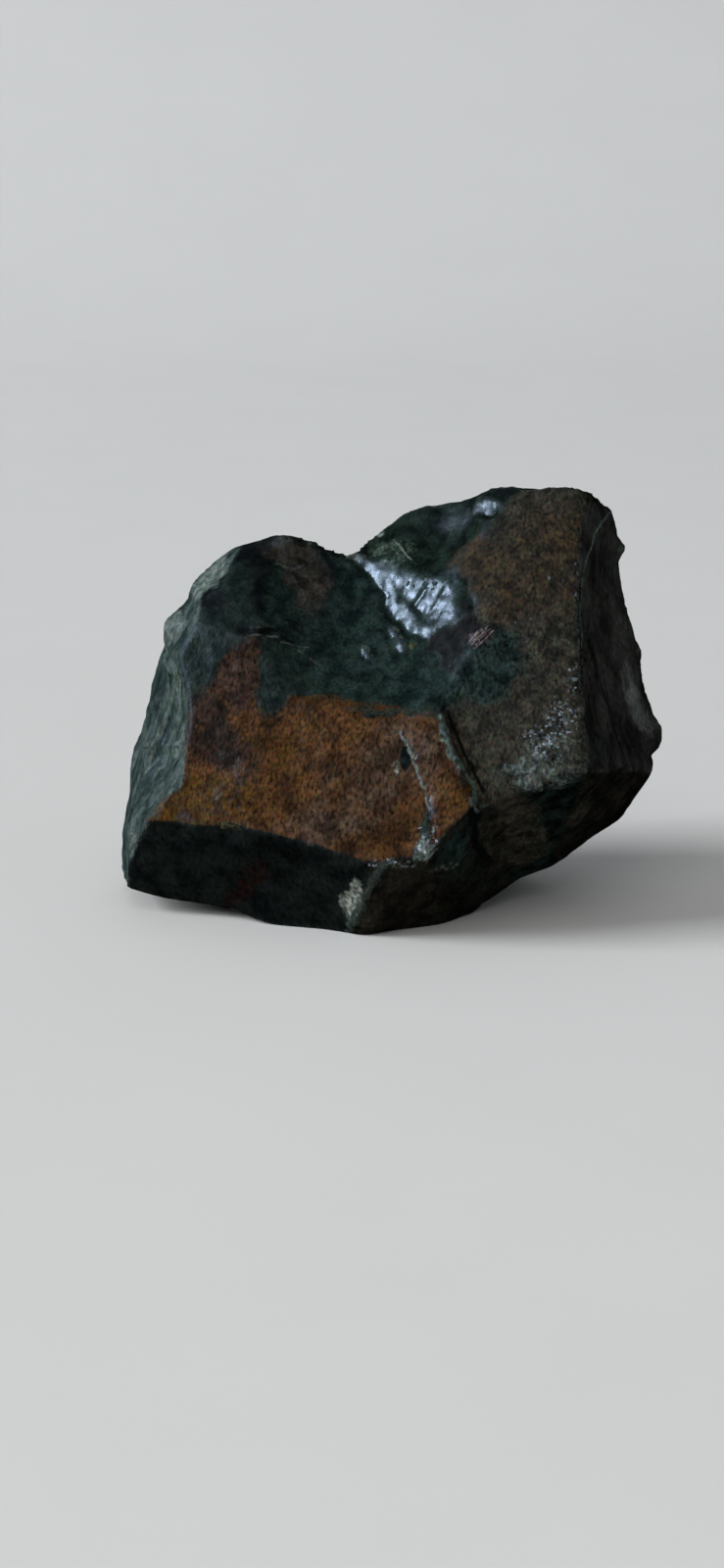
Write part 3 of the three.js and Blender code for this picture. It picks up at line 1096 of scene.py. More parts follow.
# Everything that is cut into the surface or raised on it, apart from the chipped edges.
CARVERS: tuple[Carver, ...] = (
    Rounding(Patch((17, -12, 60), (5, 7, 12)), 160),
    Rounding(Patch((15.5, -8.5, 70), (6, 7, 7)), 200),
    Rounding(Patch((5, -12, 56.5), (9, 8, 7)), 160),
    Rounding(Patch((12, 6, 79.5), (4, 5, 3)), 40),
    Rounding(Patch((-27, -7, 59), (5, 6, 2.5)), 12),
    Flakes(DARK_FRONT, 10.0, 0.55),
    Flakes(REAR + (Side.RIGHT,), 15.0, 1.1),
    Flakes(REAR + (Side.RIGHT,) + LEFT_SIDES, 6.0, 0.3),
    Flakes((Side.HOLLOW_RIGHT,), 6.0, 0.30, 0.6),
    Flakes((Side.HOLLOW,), 7.0, 0.35),
    Flakes((Side.SCOOP,), 8.0, 0.2),
    Flakes((Side.LOBE,), 7.0, 0.28),
    Flakes((Side.LUMP, Side.LUMP_SIDE, Side.LEFT_PEAK), 6.5, 0.4),
    Flakes((Side.LEFT, Side.LEFT_LOW), 9.0, 0.9, 0.5),
    Ripples((Side.HOLLOW_RIGHT,), (-6.0, 8.0, 71.0), 3.4, 0.04),
    Ripples((Side.HOLLOW, Side.LUMP_SIDE), (-4.0, 12.0, 74.0), 4.2, 0.15),
    Ripples((Side.HIP,), (20.0, -31.0, 33.0), 2.8, 0.10),
    Ripples((Side.BACK, Side.BACK_RIGHT), (30.0, 34.0, 60.0), 5.5, 0.16),
    Ripples((Side.BACK_LEFT,), (-30.0, 12.0, 66.0), 5.0, 0.14),
    Grain((Side.FRONT,), 7.0, 0.12, 4, (1.0, 1.0, 1.6)),
    Grain((Side.LOBE,), 2.6, 0.16, 3),
    Grain(LEFT_SIDES, 4.0, 0.34, 3, (1.0, 1.0, 3.0)),
    Grain((Side.HOLLOW, Side.HOLLOW_RIGHT), 3.4, 0.09, 3),
    Grain(DARK_FRONT + REAR + (Side.RIGHT,), 2.4, 0.10, 3),
    Hackles(Patch((-15, 7, 72), (9, 4, 3)), 4.0, 1.0),
    Hackles(Patch((34, -26, 41), (9, 7, 9)), 2.6, 0.35),
    Bevel(Line(SADDLE_LINE, 1.4), TO_WINDOW),
    Bevel(Line(SADDLE_FOOT, 2.3), TO_WINDOW),
    Bevel(Line(((0.2, -6.2, 58.0), (1.8, -9.6, 55.0)), 1.5), TO_WINDOW),
    Bevel(Line(((-5.6, -9.0, 54.4), (-4.9, -10.2, 53.2)), 1.1), TO_WINDOW),
    Bevel(Line(((18.6, 2.0, 82.0), (20.6, 0.0, 81.4)), 2.0), TO_WINDOW),
    Hackles(Patch((20, 1.0, 81.6), (4, 4, 3)), 1.3, 0.22),
    Groove(Line(((8.6, -4.0, 67.6), (4.6, -4.5, 62.5)), 0.9), 0.30),
    Groove(Line(((3.0, -1.4, 65.0), (0.0, -3.4, 61.0)), 0.8), 0.25),
    Groove(Line(((11.4, -6.6, 67.0), (8.2, -7.5, 61.9)), 0.8), 0.22),
    Groove(Line(NECK_CRACK, 1.2), 0.6),
    Groove(Line(FISSURE, 1.1), 0.35),
    Groove(Line(LEDGE_FOOT, 1.3), 0.45),
    Groove(Line(HIP_BORDER, 1.6), 0.6),
    Groove(Line(DOME_RIM, 2.2), 0.4),
    Groove(Line(RIGHT_STEP, 2.6), 0.6),
    Groove(Line(LEFT_RIDGE, 2.0), -0.8),
    Groove(Line(LEFT_STEP, 1.6), -0.5),
    Groove(Line(CHIN_RIDGE, 1.6), -0.5),
    Rounding(Patch((43, 0, 85.5), (5, 6, 4)), 60),
    Bump(Patch((57.0, 4.5, 33.5), (4.0, 6.0, 3.2)), 1.3),
    Groove(Line(((54.5, -1.0, 28.4), (56.5, 7.0, 29.2)), 2.4), 0.7),
    Bump(Patch((15.0, 11.0, 82.5), (6.0, 4.0, 3.0)), 0.9),
    Bump(Patch((21.5, 6.0, 84.0), (4.0, 4.0, 2.6)), 0.5),
    Bump(Patch((-46.0, 8.0, 57.4), (3.6, 7.0, 3.6)), 1.7),
    Bump(Patch((48.6, 8.0, 72.5), (2.2, 4.0, 2.0)), 1.5),
    Bump(Patch((52.5, 6.0, 51.0), (2.0, 4.0, 1.7)), 1.0),
    Bump(Patch((51.0, 6.0, 58.0), (3.0, 5.0, 5.0)), 0.6),
    Bump(Patch((-21.9, 8.4, 73.4), (2.6, 3.0, 1.6)), 0.9),
)


class Wiring:
    """Adds nodes to one material and joins them."""

    STEP = 200  # distance between nodes in the editor
    IN_A_ROW = 12
    MIDDLE = 0.5  # what noise and the colours of cells are on average
    MIX_SOCKETS = {"FLOAT": (2, 3, 0), "VECTOR": (4, 5, 1), "RGBA": (6, 7, 2)}  # two in, one out

    def __init__(self, material: bpy.types.Material) -> None:
        """Clears the material's nodes and adds the shader and the output.

        Args:
            material: what the nodes belong to.
        """
        material.use_nodes = True
        self.tree = material.node_tree
        self.tree.nodes.clear()
        self.count = 0
        self.shader = self.node("ShaderNodeBsdfPrincipled")
        output = self.node("ShaderNodeOutputMaterial")
        self.tree.links.new(self.shader.outputs["BSDF"], output.inputs["Surface"])
        self.where = self.node("ShaderNodeTexCoord").outputs["Object"]

    def node(self, kind: str, **settings: object) -> bpy.types.Node:
        """A new node.

        Args:
            kind: Blender's name for its type.
            settings: values of its properties.

        Returns:
            The node.
        """
        made = self.tree.nodes.new(kind)
        row, column = divmod(self.count, self.IN_A_ROW)
        made.location = (self.STEP * column, -self.STEP * row)
        self.count += 1
        for name, value in settings.items():
            setattr(made, name, value)
        return made

    def feed(self, target: Socket, source: Source) -> None:
        """Links a socket to another one, or sets its value.

        Args:
            target: the socket that is fed.
            source: where its value comes from, or the value itself.
        """
        if isinstance(source, Socket):
            self.tree.links.new(source, target)
        else:
            target.default_value = source

    def attribute(self, name: str) -> Socket:
        """A value that the mesh holds for each of its points."""
        return self.node("ShaderNodeAttribute", attribute_name=name).outputs["Fac"]

    def maths(self, operation: str, *values: Socket | float, clamp: bool = False) -> Socket:
        """The result of one sum.

        Args:
            operation: Blender's name for it.
            values: what goes into it.
            clamp: whether the result is kept between 0 and 1.

        Returns:
            The result.
        """
        made = self.node("ShaderNodeMath", operation=operation, use_clamp=clamp)
        for target, source in zip(made.inputs, values):
            self.feed(target, source)
        return made.outputs[0]

    def stretched(self, stretch: Point) -> Socket:
        """Places on the object, changed so that patterns grow longer along an axis.

        Args:
            stretch: how much longer, along each axis.

        Returns:
            The changed places.
        """
        made = self.node("ShaderNodeMapping")
        self.feed(made.inputs["Vector"], self.where)
        made.inputs["Scale"].default_value = [1 / share for share in stretch]
        return made.outputs["Vector"]

    def noise(self, size: float, detail: float = 2.0, stretch: Point | None = None) -> Socket:
        """Cloudy noise.

        Args:
            size: size of its spots in millimetres.
            detail: how many finer layers it has.
            stretch: how much longer it is along each axis.

        Returns:
            A value from 0 to 1, about 0.5 on average.
        """
        made = self.node("ShaderNodeTexNoise")
        self.feed(made.inputs["Vector"], self.stretched(stretch) if stretch else self.where)
        made.inputs["Scale"].default_value = 1 / (size * MM)
        made.inputs["Detail"].default_value = detail
        return made.outputs["Fac"]

    def cells(self, size: float) -> Socket:
        """A pattern of small grains.

        Args:
            size: size of a grain in millimetres.

        Returns:
            A colour for each grain, taken at random.
        """
        made = self.node("ShaderNodeTexVoronoi")
        self.feed(made.inputs["Vector"], self.where)
        made.inputs["Scale"].default_value = 1 / (size * MM)
        return made.outputs["Color"]

    def rise(self, value: Socket, low: float, high: float) -> Socket:
        """Smooth step from 0 to 1.

        Args:
            value: what it depends on.
            low: value where it is 0.
            high: value where it is 1, which may be the smaller of the two.

        Returns:
            The step.
        """
        made = self.node("ShaderNodeMapRange", interpolation_type="SMOOTHSTEP")
        self.feed(made.inputs["Value"], value)
        made.inputs["From Min"].default_value = low
        made.inputs["From Max"].default_value = high
        return made.outputs["Result"]

    def between(self, share: Socket, low: float | Socket, high: float | Socket) -> Socket:
        """A value between two others."""
        return self._mixed("FLOAT", share, low, high)

    def _mixed(self, kind: str, share: Socket, below: Source, above: Source) -> Socket:
        """A value, vector or colour between two others.

        Args:
            kind: Blender's name for what is mixed.
            share: how much there is of the second.
            below: the first.
            above: the second.

        Returns:
            The mixture.
        """
        made = self.node("ShaderNodeMix", data_type=kind)
        first, second, result = self.MIX_SOCKETS[kind]
        for number, source in ((0, share), (first, below), (second, above)):
            self.feed(made.inputs[number], source)
        return made.outputs[result]

    def vectors(self, operation: str, *values: Socket | Point) -> Socket:
        """The result of one sum with vectors.

        Args:
            operation: Blender's name for it.
            values: what goes into it.

        Returns:
            The result.
        """
        made = self.node("ShaderNodeVectorMath", operation=operation)
        for target, source in zip(made.inputs, values):
            self.feed(target, source)
        return made.outputs[0]

    def scaled(self, vector: Socket, scale: Socket | float) -> Socket:
        """A vector made longer or shorter.

        Args:
            vector: what is changed.
            scale: how many times longer it becomes.

        Returns:
            The changed vector.
        """
        made = self.node("ShaderNodeVectorMath", operation="SCALE")
        self.feed(made.inputs[0], vector)
        self.feed(made.inputs["Scale"], scale)
        return made.outputs[0]

    def blend(self, share: Socket, below: Socket, above: Socket) -> Socket:
        """A direction between two others."""
        return self.vectors("NORMALIZE", self._mixed("VECTOR", share, below, above))

    def tint(self, share: Socket, below: Socket | Colour, above: Socket | Colour) -> Socket:
        """A colour between two others."""
        whole = [end if isinstance(end, Socket) else (*end, 1.0) for end in (below, above)]
        return self._mixed("RGBA", share, *whole)


@dataclass(frozen=True)
class StoneFinish:
    """The rock's colour, gloss and finest grain. Sizes are in millimetres."""

    name: str = "bloodstone_rock"
    specular: float = 0.1

    green_dark: Colour = (0.0022, 0.0042, 0.0034)
    green_light: Colour = (0.010, 0.019, 0.014)
    green_roughness: float = 0.30
    green_mottle: float = 4.0
    green_tones: Span = (0.35, 0.65)  # noise between which dark turns to light

    mineral_tones: Span = (0.34, 0.66)  # the same in a mineral
    border_size: float = 1.3  # size of a border's bends, beside the size of the mottling
    border_grain: float = 0.9  # how far single grains stray over a mineral's border
    border_near: Span = (0.0, 0.3)  # amounts between which noise begins to move a border

    vein_sway: float = 2.5  # size of its bends
    vein_reach: Span = (3.6, 2.4)  # how far it may bend from its line, in widths
    vein_edge: Span = (1.0, 0.4)  # where its colour begins and is whole, in widths
    vein_breaks: float = 3.0  # size of the parts it is broken into
    vein_blur: float = 0.07  # how softly those end

    # Pale edges: partly worn rock, partly a painted highlight along the edges.
    edge_wear_and_shine: Colour = (0.038, 0.044, 0.036)
    edge_roughness: float = 0.85
    pale_edge_span: Span = (0.4, 1.0)  # edge marks at which the pale edge begins and is whole
    pale_spot_size: float = 1.6  # size of the pale spots
    pale_spots: Span = (0.42, 0.62)  # noise between which a spot begins and is whole

    gloss_size: float = 1.4  # size of rougher and smoother spots
    gloss_swing: float = 0.3  # difference in roughness between them

    grain_size: float = 0.6
    grain_contrast: float = 1.3
    plain_contrast: float = 0.8  # the same on breaks without grain
    grain_hue: float = 0.36
    plain_hue: float = 0.22
    fibre: Point = (1.0, 1.0, 2.4)  # how much longer than a grain it is along each axis
    fibre_swing: float = 2.8  # how much fibres lighten and darken the colour
    darkest: float = 0.15  # least share of the colour that they leave
    fine_size: float = 0.9  # size of the faint unevenness
    fine_height: float = 0.7  # its height beside the fibres'
    bump_height: float = 0.05

    glint_size: float = 0.54
    glint_chance: Span = (1.0, 1.04)  # chance and mark together, above which a grain is bright
    glint_spread: float = 0.55  # how far bright faces lean apart
    glint_roughness: float = 0.37

    def material(self, minerals: tuple[Mineral, ...], veins: tuple[Vein, ...]) -> bpy.types.Material:
        """Builds the material.

        Args:
            minerals: painted in this order, over the dark green.
            veins: drawn over all of them.

        Returns:
            One material for the whole stone.
        """
        made = bpy.data.materials.new(self.name)
        wiring = Wiring(made)
        colour, roughness = self._minerals(wiring, minerals)
        colour, roughness = self._veins(wiring, veins, colour, roughness)
        colour, roughness = self._pale_edges(wiring, colour, roughness)
        fibre = wiring.noise(self.grain_size, stretch=self.fibre)
        grain = wiring.attribute("grainy")
        colour = self._speckled(wiring, colour, fibre, grain)
        wiring.feed(wiring.shader.inputs["Base Color"], colour)
        bright, lean = self._glints(wiring)
        uneven = wiring.noise(self.gloss_size, detail=3.0)
        uneven = wiring.maths("MULTIPLY_ADD", uneven, self.gloss_swing, -self.gloss_swing / 2)
        roughness = wiring.maths("ADD", roughness, uneven, clamp=True)
        roughness = wiring.between(bright, roughness, self.glint_roughness)
        wiring.feed(wiring.shader.inputs["Roughness"], roughness)
        wiring.shader.inputs["Specular IOR Level"].default_value = self.specular
        facing = wiring.blend(bright, self._grain(wiring, fibre, grain), lean)
        wiring.feed(wiring.shader.inputs["Normal"], facing)
        return made

    def _minerals(self, wiring: Wiring, minerals: tuple[Mineral, ...]) -> tuple[Socket, Socket]:
        """Lays the minerals over the dark green, one after the other.

        Args:
            wiring: the material's nodes.
            minerals: from the lowest to the topmost.

        Returns:
            The colour and the roughness.
        """
        tone = wiring.rise(wiring.noise(self.green_mottle, detail=4.0), *self.green_tones)
        colour = wiring.tint(tone, self.green_dark, self.green_light)
        roughness: Socket | float = self.green_roughness
        grains = wiring.maths("SUBTRACT", wiring.noise(self.grain_size), wiring.MIDDLE)
        for mineral in minerals:
            amount = wiring.attribute(mineral.name)
            border = wiring.noise(mineral.mottle * self.border_size, detail=5.0)
            border = wiring.maths("SUBTRACT", border, wiring.MIDDLE)
            border = wiring.maths("MULTIPLY", border, mineral.ragged)
            border = wiring.maths("MULTIPLY_ADD", grains, self.border_grain, border)
            near = wiring.rise(amount, *self.border_near)
            amount = wiring.maths("MULTIPLY_ADD", border, near, amount)
            share = wiring.rise(amount, *mineral.border)
            tone = wiring.noise(mineral.mottle, detail=4.0, stretch=mineral.run)
            tone = wiring.rise(tone, *self.mineral_tones)
            colour = wiring.tint(share, colour, wiring.tint(tone, mineral.dark, mineral.light))
            roughness = wiring.between(share, roughness, mineral.roughness)
        return colour, roughness

    def _veins(
        self, wiring: Wiring, veins: tuple[Vein, ...], colour: Socket, roughness: Socket
    ) -> tuple[Socket, Socket]:
        """Draws the veins over the minerals.

        Args:
            wiring: the material's nodes.
            veins: drawn in this order.
            colour: what lies under them.
            roughness: the roughness of what lies under them.

        Returns:
            The colour and the roughness with the veins.
        """
        for vein in veins:
            sway = wiring.noise(self.vein_sway, detail=4.0)
            stray = wiring.maths("MULTIPLY_ADD", sway, 2 * vein.stray, -vein.stray)
            beside = wiring.maths("ADD", wiring.attribute(vein.beside), stray)
            beside = wiring.maths("ABSOLUTE", beside)
            reach = wiring.rise(wiring.attribute(vein.name), *self.vein_reach)
            patchy = wiring.noise(self.vein_breaks)
            patchy = wiring.rise(patchy, vein.gaps - self.vein_blur, vein.gaps + self.vein_blur)
            share = wiring.maths("MULTIPLY", wiring.rise(beside, *self.vein_edge), reach)
            share = wiring.maths("MULTIPLY", share, patchy)
            colour = wiring.tint(share, colour, vein.colour)
            roughness = wiring.between(share, roughness, vein.roughness)
        return colour, roughness

    def _pale_edges(self, wiring: Wiring, colour: Socket, roughness: Socket) -> tuple[Socket, Socket]:
        """Makes the edges rough, and pales them in spots: partly wear, partly a painted highlight along
        the edges.

        Args:
            wiring: the material's nodes.
            colour: what is paled.
            roughness: the roughness of what is roughened.

        Returns:
            The colour and the roughness with the rough and pale edges.
        """
        edge = wiring.attribute("edge")
        proud = wiring.rise(edge, *self.pale_edge_span)
        spots = wiring.rise(wiring.noise(self.pale_spot_size), *self.pale_spots)
        pale_edge = wiring.maths("MULTIPLY", proud, spots)
        colour = wiring.tint(pale_edge, colour, self.edge_wear_and_shine)
        return colour, wiring.between(edge, roughness, self.edge_roughness)

    def _speckled(self, wiring: Wiring, colour: Socket, fibre: Socket, grain: Socket) -> Socket:
        """Lightens and darkens the colour along its fibres, and gives each grain its own hue.

        Args:
            wiring: the material's nodes.
            colour: what is changed.
            fibre: noise that runs along the fibres.
            grain: how grainy the surface is.

        Returns:
            The changed colour.
        """
        contrast = wiring.between(grain, self.plain_contrast, self.grain_contrast)
        swing = wiring.maths("MULTIPLY_ADD", fibre, self.fibre_swing, -self.fibre_swing / 2)
        gain = wiring.maths("MULTIPLY_ADD", swing, contrast, 1.0)
        lit = wiring.scaled(colour, wiring.maths("MAXIMUM", gain, self.darkest))
        grains = wiring.cells(self.grain_size)
        hue = wiring.vectors("SUBTRACT", grains, (wiring.MIDDLE, wiring.MIDDLE, wiring.MIDDLE))
        strength = wiring.between(grain, self.plain_hue, self.grain_hue)
        hue = wiring.vectors("ADD", wiring.scaled(hue, strength), (1.0, 1.0, 1.0))
        return wiring.vectors("MULTIPLY", lit, hue)

    def _glints(self, wiring: Wiring) -> tuple[Socket, Socket]:
        """Single grains with a bright face.

        Args:
            wiring: the material's nodes.

        Returns:
            Which grains they are, and the way each faces.
        """
        cells = wiring.cells(self.glint_size)
        parts = wiring.node("ShaderNodeSeparateColor")
        wiring.feed(parts.inputs[0], cells)
        chance = wiring.maths("ADD", parts.outputs["Blue"], wiring.attribute("glint"))
        spread = wiring.scaled(cells, self.glint_spread)
        middle = tuple(part - self.glint_spread / 2 for part in TO_WINDOW)
        bright = wiring.rise(chance, *self.glint_chance)
        return bright, wiring.vectors("ADD", spread, middle)

    def _grain(self, wiring: Wiring, fibre: Socket, grain: Socket) -> Socket:
        """Finest relief: fibres on the grainy breaks and a faint unevenness everywhere.

        Args:
            wiring: the material's nodes.
            fibre: noise that runs along the fibres.
            grain: how grainy the surface is.

        Returns:
            The way the surface faces with that relief.
        """
        fine = wiring.noise(self.fine_size, detail=3.0)
        height = wiring.maths("MULTIPLY", fibre, grain)
        height = wiring.maths("MULTIPLY_ADD", fine, self.fine_height, height)
        bump = wiring.node("ShaderNodeBump")
        bump.inputs["Strength"].default_value = 1.0
        bump.inputs["Distance"].default_value = self.bump_height * MM
        wiring.feed(bump.inputs["Height"], height)
        return bump.outputs["Normal"]


@dataclass
class BrokenStone:
    """The stone itself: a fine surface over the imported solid, carved and painted.

    glints are the places where single grains shine, each with how many of them do.
    """

    name: str = "rough_stone"
    voxel: float = 0.68  # size of its even faces, in millimetres
    seed: int = 7
    level_rounds: int = 36
    level_keep: float = math.radians(22)
    foot: float = 1.2  # height over which carving fades towards the flat base
    edge_rounds: int = 8
    edge_proud: Span = (0.02, 0.22)  # millimetres that stand out where the edge mark is 0 and 1
    glints: tuple[Patch, ...] = (
        Patch((38.1, -19.0, 56.1), (1.4, 3, 3.0), 0.3),
        Patch((36.6, -22.0, 50.3), (2.2, 3, 3.0), 0.4),
        Patch((34.0, -25.5, 44.5), (3.6, 4, 3.6), 0.5),
        Patch((30.5, -28.0, 40.0), (5.0, 3, 3.8), 0.42),
        Patch((33, -14, 60), (12, 8, 20), 0.08),
        Patch((7.0, -3.4, 67.8), (5, 4, 2.4), 0.25),
        Patch((6.4, -36, 21), (3.0, 3, 3.6), 0.32),
        Patch((1, -36, 17.4), (6, 2, 1.0), 0.22),
    )
    finish: StoneFinish = field(default_factory=StoneFinish)

    def build(self) -> bpy.types.Object:
        """Makes the piece and hangs it on the frame.

        Returns:
            The finished stone.
        """
        skin = self._fine_skin()
        skin.level(self.level_rounds, self.level_keep)
        self._carve(skin)
        stone = self._mesh_of(skin)
        self._mark(stone.data, skin)
        stone.data.materials.append(self.finish.material(MINERALS, VEINS))
        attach(stone, BODY)
        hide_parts(NODE)
        return stone

    def _fine_skin(self) -> Skin:
        """Covers a copy of the solid with small even faces.

        Returns:
            The surface of those faces.
        """
        copy = bpy.data.objects.new("solid_copy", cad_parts[NODE].data.copy())
        bpy.context.scene.collection.objects.link(copy)
        remesh = copy.modifiers.new("even_faces", "REMESH")
        remesh.mode = "VOXEL"
        remesh.voxel_size = self.voxel * MM
        evaluated = copy.evaluated_get(bpy.context.evaluated_depsgraph_get())
        fine = bpy.data.meshes.new_from_object(evaluated)
        places = np.empty(len(fine.vertices) * 3, np.float32)
        fine.vertices.foreach_get("co", places)
        corners = np.empty(len(fine.loops), np.int32)
        fine.loops.foreach_get("vertex_index", corners)
        bpy.data.objects.remove(copy)
        bpy.data.meshes.remove(fine)
        places = places.reshape(-1, 3).astype(float) / MM
        return Skin(places, corners.reshape(-1, CORNERS).astype(int))

    def _carve(self, skin: Skin) -> None:
        """Cuts every carver's depth into the skin, then chips its edges.

        Args:
            skin: the surface, which is changed.
        """
        survey = Survey(skin, Noise(self.seed))
        self._cut(skin, sum(carver.depth(survey) for carver in CARVERS))
        self._cut(skin, ChippedEdges().depth(survey))
        self._fit(skin)

    def _cut(self, skin: Skin, depth: Array) -> None:
        """Moves the surface inwards, and less and less towards the flat base."""
        depth = depth * eased(skin.places[:, 2], 0, self.foot)
        skin.places = skin.places - depth[:, None] * skin.normals()

    def _fit(self, skin: Skin) -> None:
        """Stretches the skin by the hair that carving took, so that it fills the solid's box.

        Args:
            skin: the surface, which is changed.
        """
        low, high = (np.array(corner) / MM for corner in CAD_BOX)
        start, end = skin.places.min(axis=0), skin.places.max(axis=0)
        skin.places = low + (skin.places - start) * (high - low) / (end - start)

    def _mesh_of(self, skin: Skin) -> bpy.types.Object:
        """Turns the skin into a mesh object in metres.

        Args:
            skin: the carved surface.

        Returns:
            The object, linked to the scene.
        """
        mesh = bpy.data.meshes.new(self.name)
        count = len(skin.faces)
        mesh.vertices.add(len(skin.places))
        mesh.vertices.foreach_set("co", (skin.places * MM).astype(np.float32).ravel())
        mesh.loops.add(count * CORNERS)
        mesh.loops.foreach_set("vertex_index", skin.faces.astype(np.int32).ravel())
        mesh.polygons.add(count)
        starts = np.arange(0, count * CORNERS, CORNERS, dtype=np.int32)
        mesh.polygons.foreach_set("loop_start", starts)
        mesh.polygons.foreach_set("use_smooth", np.ones(count, bool))
        mesh.update(calc_edges=True)
        mesh.validate()
        stone = bpy.data.objects.new(self.name, mesh)
        bpy.context.scene.collection.objects.link(stone)
        return stone

    def _mark(self, mesh: bpy.types.Mesh, skin: Skin) -> None:
        """Stores on the mesh where each mineral, vein, pale and rough edge, and grain lies.

        Args:
            mesh: what the marks are stored on.
            skin: the same surface, before it became a mesh.
        """
        survey = Survey(skin, Noise(self.seed + 1))
        marks = {mineral.name: mineral.amount(survey) for mineral in MINERALS}
        for vein in VEINS:
            marks[vein.name], marks[vein.beside] = vein.marks(survey)
        marks["edge"] = eased(skin.crests(self.edge_rounds), *self.edge_proud)
        marks["grainy"] = survey.share(GRAINY)
        marks["glint"] = sum(patch.share(skin.places) for patch in self.glints)
        for name, values in marks.items():
            layer = mesh.attributes.new(name, "FLOAT", "POINT")
            layer.data.foreach_set("value", values.astype(np.float32))


@dataclass
class StudioFloor:
    """A plain pale floor that sweeps up into a backdrop behind the stone.

    Its lengths are in metres, apart from the size of its unevenness.
    """

    half_width: float = 3.0
    front: float = -3.0
    bend: float = 1.0  # where the sweep begins
    radius: float = 0.7
    height: float = 1.6
    steps: int = 24
    colour: Colour = (0.70, 0.69, 0.67)
    roughness: float = 0.75
    cloud_size: float = 60.0  # of its faint unevenness, in millimetres
    cloud_shade: float = 0.96  # how dark that is beside the colour

    def build(self) -> bpy.types.Object:
        """Makes the floor.

        Returns:
            The floor.
        """
        profile = [(self.front, 0.0), (self.bend, 0.0)]
        for step in range(1, self.steps + 1):
            turn = math.pi / 2 * step / self.steps
            back = self.bend + self.radius * math.sin(turn)
            profile.append((back, self.radius * (1 - math.cos(turn))))
        profile.append((self.bend + self.radius, self.height))
        points = [(x, y, z) for y, z in profile for x in (-self.half_width, self.half_width)]
        faces = [(2 * i, 2 * i + 1, 2 * i + 3, 2 * i + 2) for i in range(len(profile) - 1)]
        mesh = bpy.data.meshes.new("floor")
        mesh.from_pydata(points, [], faces)
        mesh.polygons.foreach_set("use_smooth", np.ones(len(faces), bool))
        mesh.materials.append(self._material())
        floor = bpy.data.objects.new("floor", mesh)
        bpy.context.scene.collection.objects.link(floor)
        floor.visible_glossy = False
        return floor

    def _material(self) -> bpy.types.Material:
        """Matt paint with a faint unevenness.

        Returns:
            The material.
        """
        made = bpy.data.materials.new("pale_floor")
        wiring = Wiring(made)
        shade = tuple(self.cloud_shade * part for part in self.colour)
        colour = wiring.tint(wiring.noise(self.cloud_size), self.colour, shade)
        wiring.feed(wiring.shader.inputs["Base Color"], colour)
        wiring.shader.inputs["Roughness"].default_value = self.roughness
        wiring.shader.inputs["Specular IOR Level"].default_value = 0.0
        return made


@dataclass(frozen=True)
class SoftLight:
    """A rectangular soft light that looks at the stone. Its lengths are in metres."""

    name: str
    direction: Point  # from the stone to the light
    distance: float
    width: float
    height: float
    power: float
    colour: Colour = (1.0, 1.0, 1.0)
    in_diffuse: bool = True
    in_glossy: bool = True

    def build(self, target: Vector) -> None:
        """Makes the light.

        Args:
            target: what it looks at.
        """
        data = bpy.data.lights.new(self.name, "AREA")
        data.shape = "RECTANGLE"
        data.size = self.width
        data.size_y = self.height
        data.energy = self.power
        data.color = self.colour
        light = bpy.data.objects.new(self.name, data)
        towards = Vector(self.direction).normalized()
        light.location = target + towards * self.distance
        light.rotation_euler = towards.to_track_quat("Z", "Y").to_euler()
        light.visible_diffuse = self.in_diffuse
        light.visible_glossy = self.in_glossy
        bpy.context.scene.collection.objects.link(light)


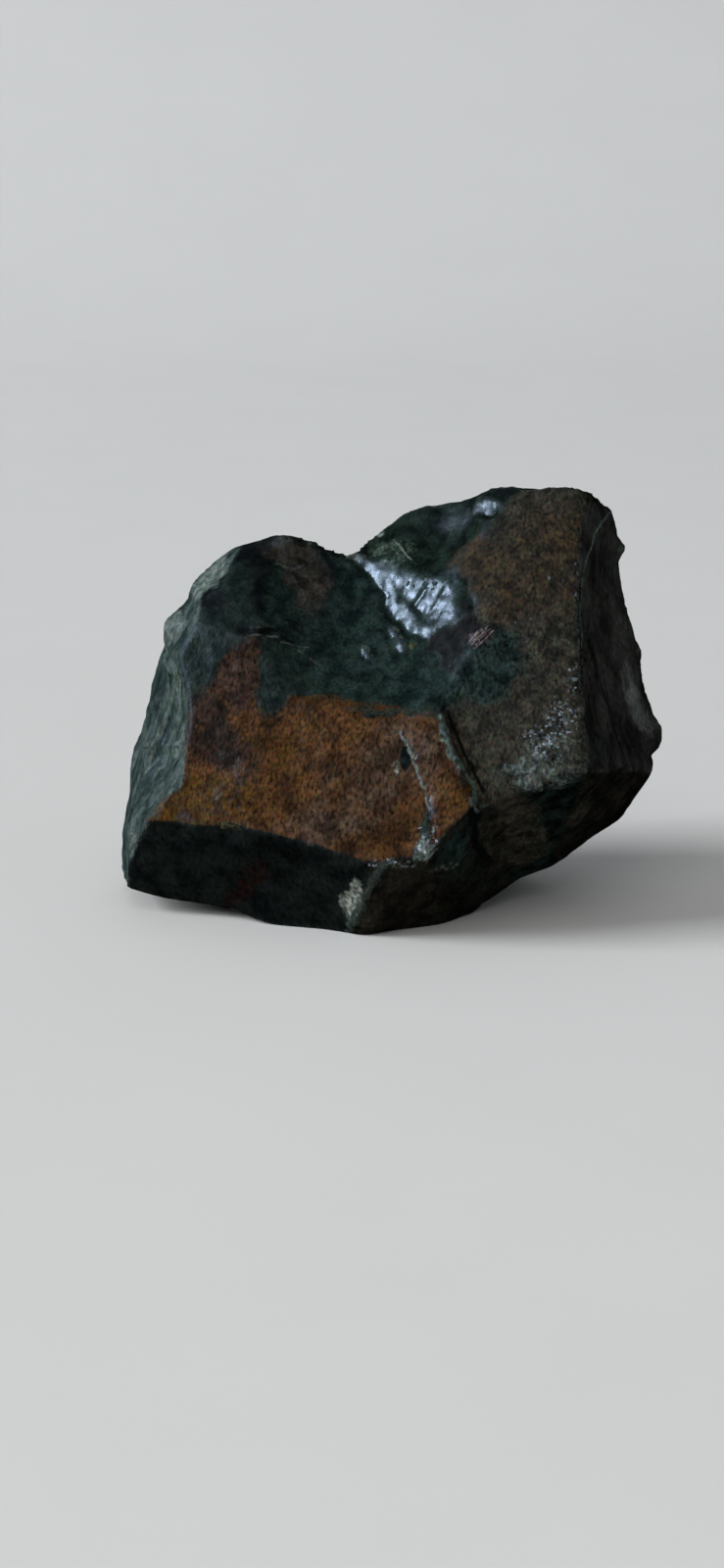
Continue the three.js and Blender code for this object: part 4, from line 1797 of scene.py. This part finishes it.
@dataclass
class Studio:
    """Soft daylight from a window high on the left, and a little light from the room."""

    surround: Colour = (0.84, 0.89, 0.95)
    surround_strength: float = 0.32
    lights: tuple[SoftLight, ...] = (
        SoftLight(
            "window", direction=(-0.87, -0.14, 0.47), distance=9.0, width=4.1, height=4.1,
            power=870.0, colour=(0.92, 0.96, 1.0), in_glossy=False,
        ),
        SoftLight(
            "window_shine", direction=(-0.87, -0.16, 0.46), distance=2.2, width=0.44, height=0.48,
            power=112.0, colour=(0.58, 0.75, 1.0), in_diffuse=False,
        ),
        SoftLight(
            "room", direction=(-0.25, -0.75, 0.75), distance=1.6, width=1.2, height=1.2,
            power=5.5, colour=(1.0, 0.97, 0.93), in_glossy=False,
        ),
    )

    def build(self) -> None:
        """Sets the surroundings and the lights."""
        world = bpy.data.worlds.new("surroundings")
        world.use_nodes = True
        background = world.node_tree.nodes["Background"]
        background.inputs["Color"].default_value = (*self.surround, 1.0)
        background.inputs["Strength"].default_value = self.surround_strength
        world.cycles_visibility.glossy = False
        bpy.context.scene.world = world
        low, high = CAD_BOX
        for light in self.lights:
            light.build((low + high) / 2)
        bpy.context.scene.view_settings.view_transform = "Standard"


@dataclass(frozen=True)
class PhotoCamera:
    """A camera that sees the stone from where the photograph was taken, but closer in."""

    at: Point = (-5.95, -606.7, 178.4)  # in millimetres
    down: float = 14.25  # degrees below level
    lens: float = 27.38  # the photograph's, for a picture 36 mm tall
    closer: float = 2.5  # how many times larger the stone is than in the photograph
    sensor: float = 36.0

    LEVEL = 90  # degrees that an unturned camera, which looks down, is turned up to look ahead

    def build(self) -> None:
        """Makes the camera and hands it to the scene."""
        data = bpy.data.cameras.new("camera")
        data.sensor_width = self.sensor
        data.lens = self.lens * self.closer
        camera = bpy.data.objects.new("camera", data)
        camera.location = Vector(self.at) * MM
        camera.rotation_euler = (math.radians(self.LEVEL - self.down), 0, 0)
        bpy.context.scene.collection.objects.link(camera)
        bpy.context.scene.camera = camera


def report(piece: bpy.types.Object) -> None:
    """Says how large a piece is and how many faces it has."""
    size = [round(length / MM, 1) for length in piece.dimensions]
    log.info("%s: %d faces, %s mm", piece.name, len(piece.data.polygons), size)


def main() -> None:
    """Builds the stone, the floor, the lights and the camera."""
    logging.basicConfig(level=logging.INFO, format="%(name)s: %(message)s")
    report(BrokenStone().build())
    report(StudioFloor().build())
    Studio().build()
    PhotoCamera().build()


if __name__ == "__main__":
    main()
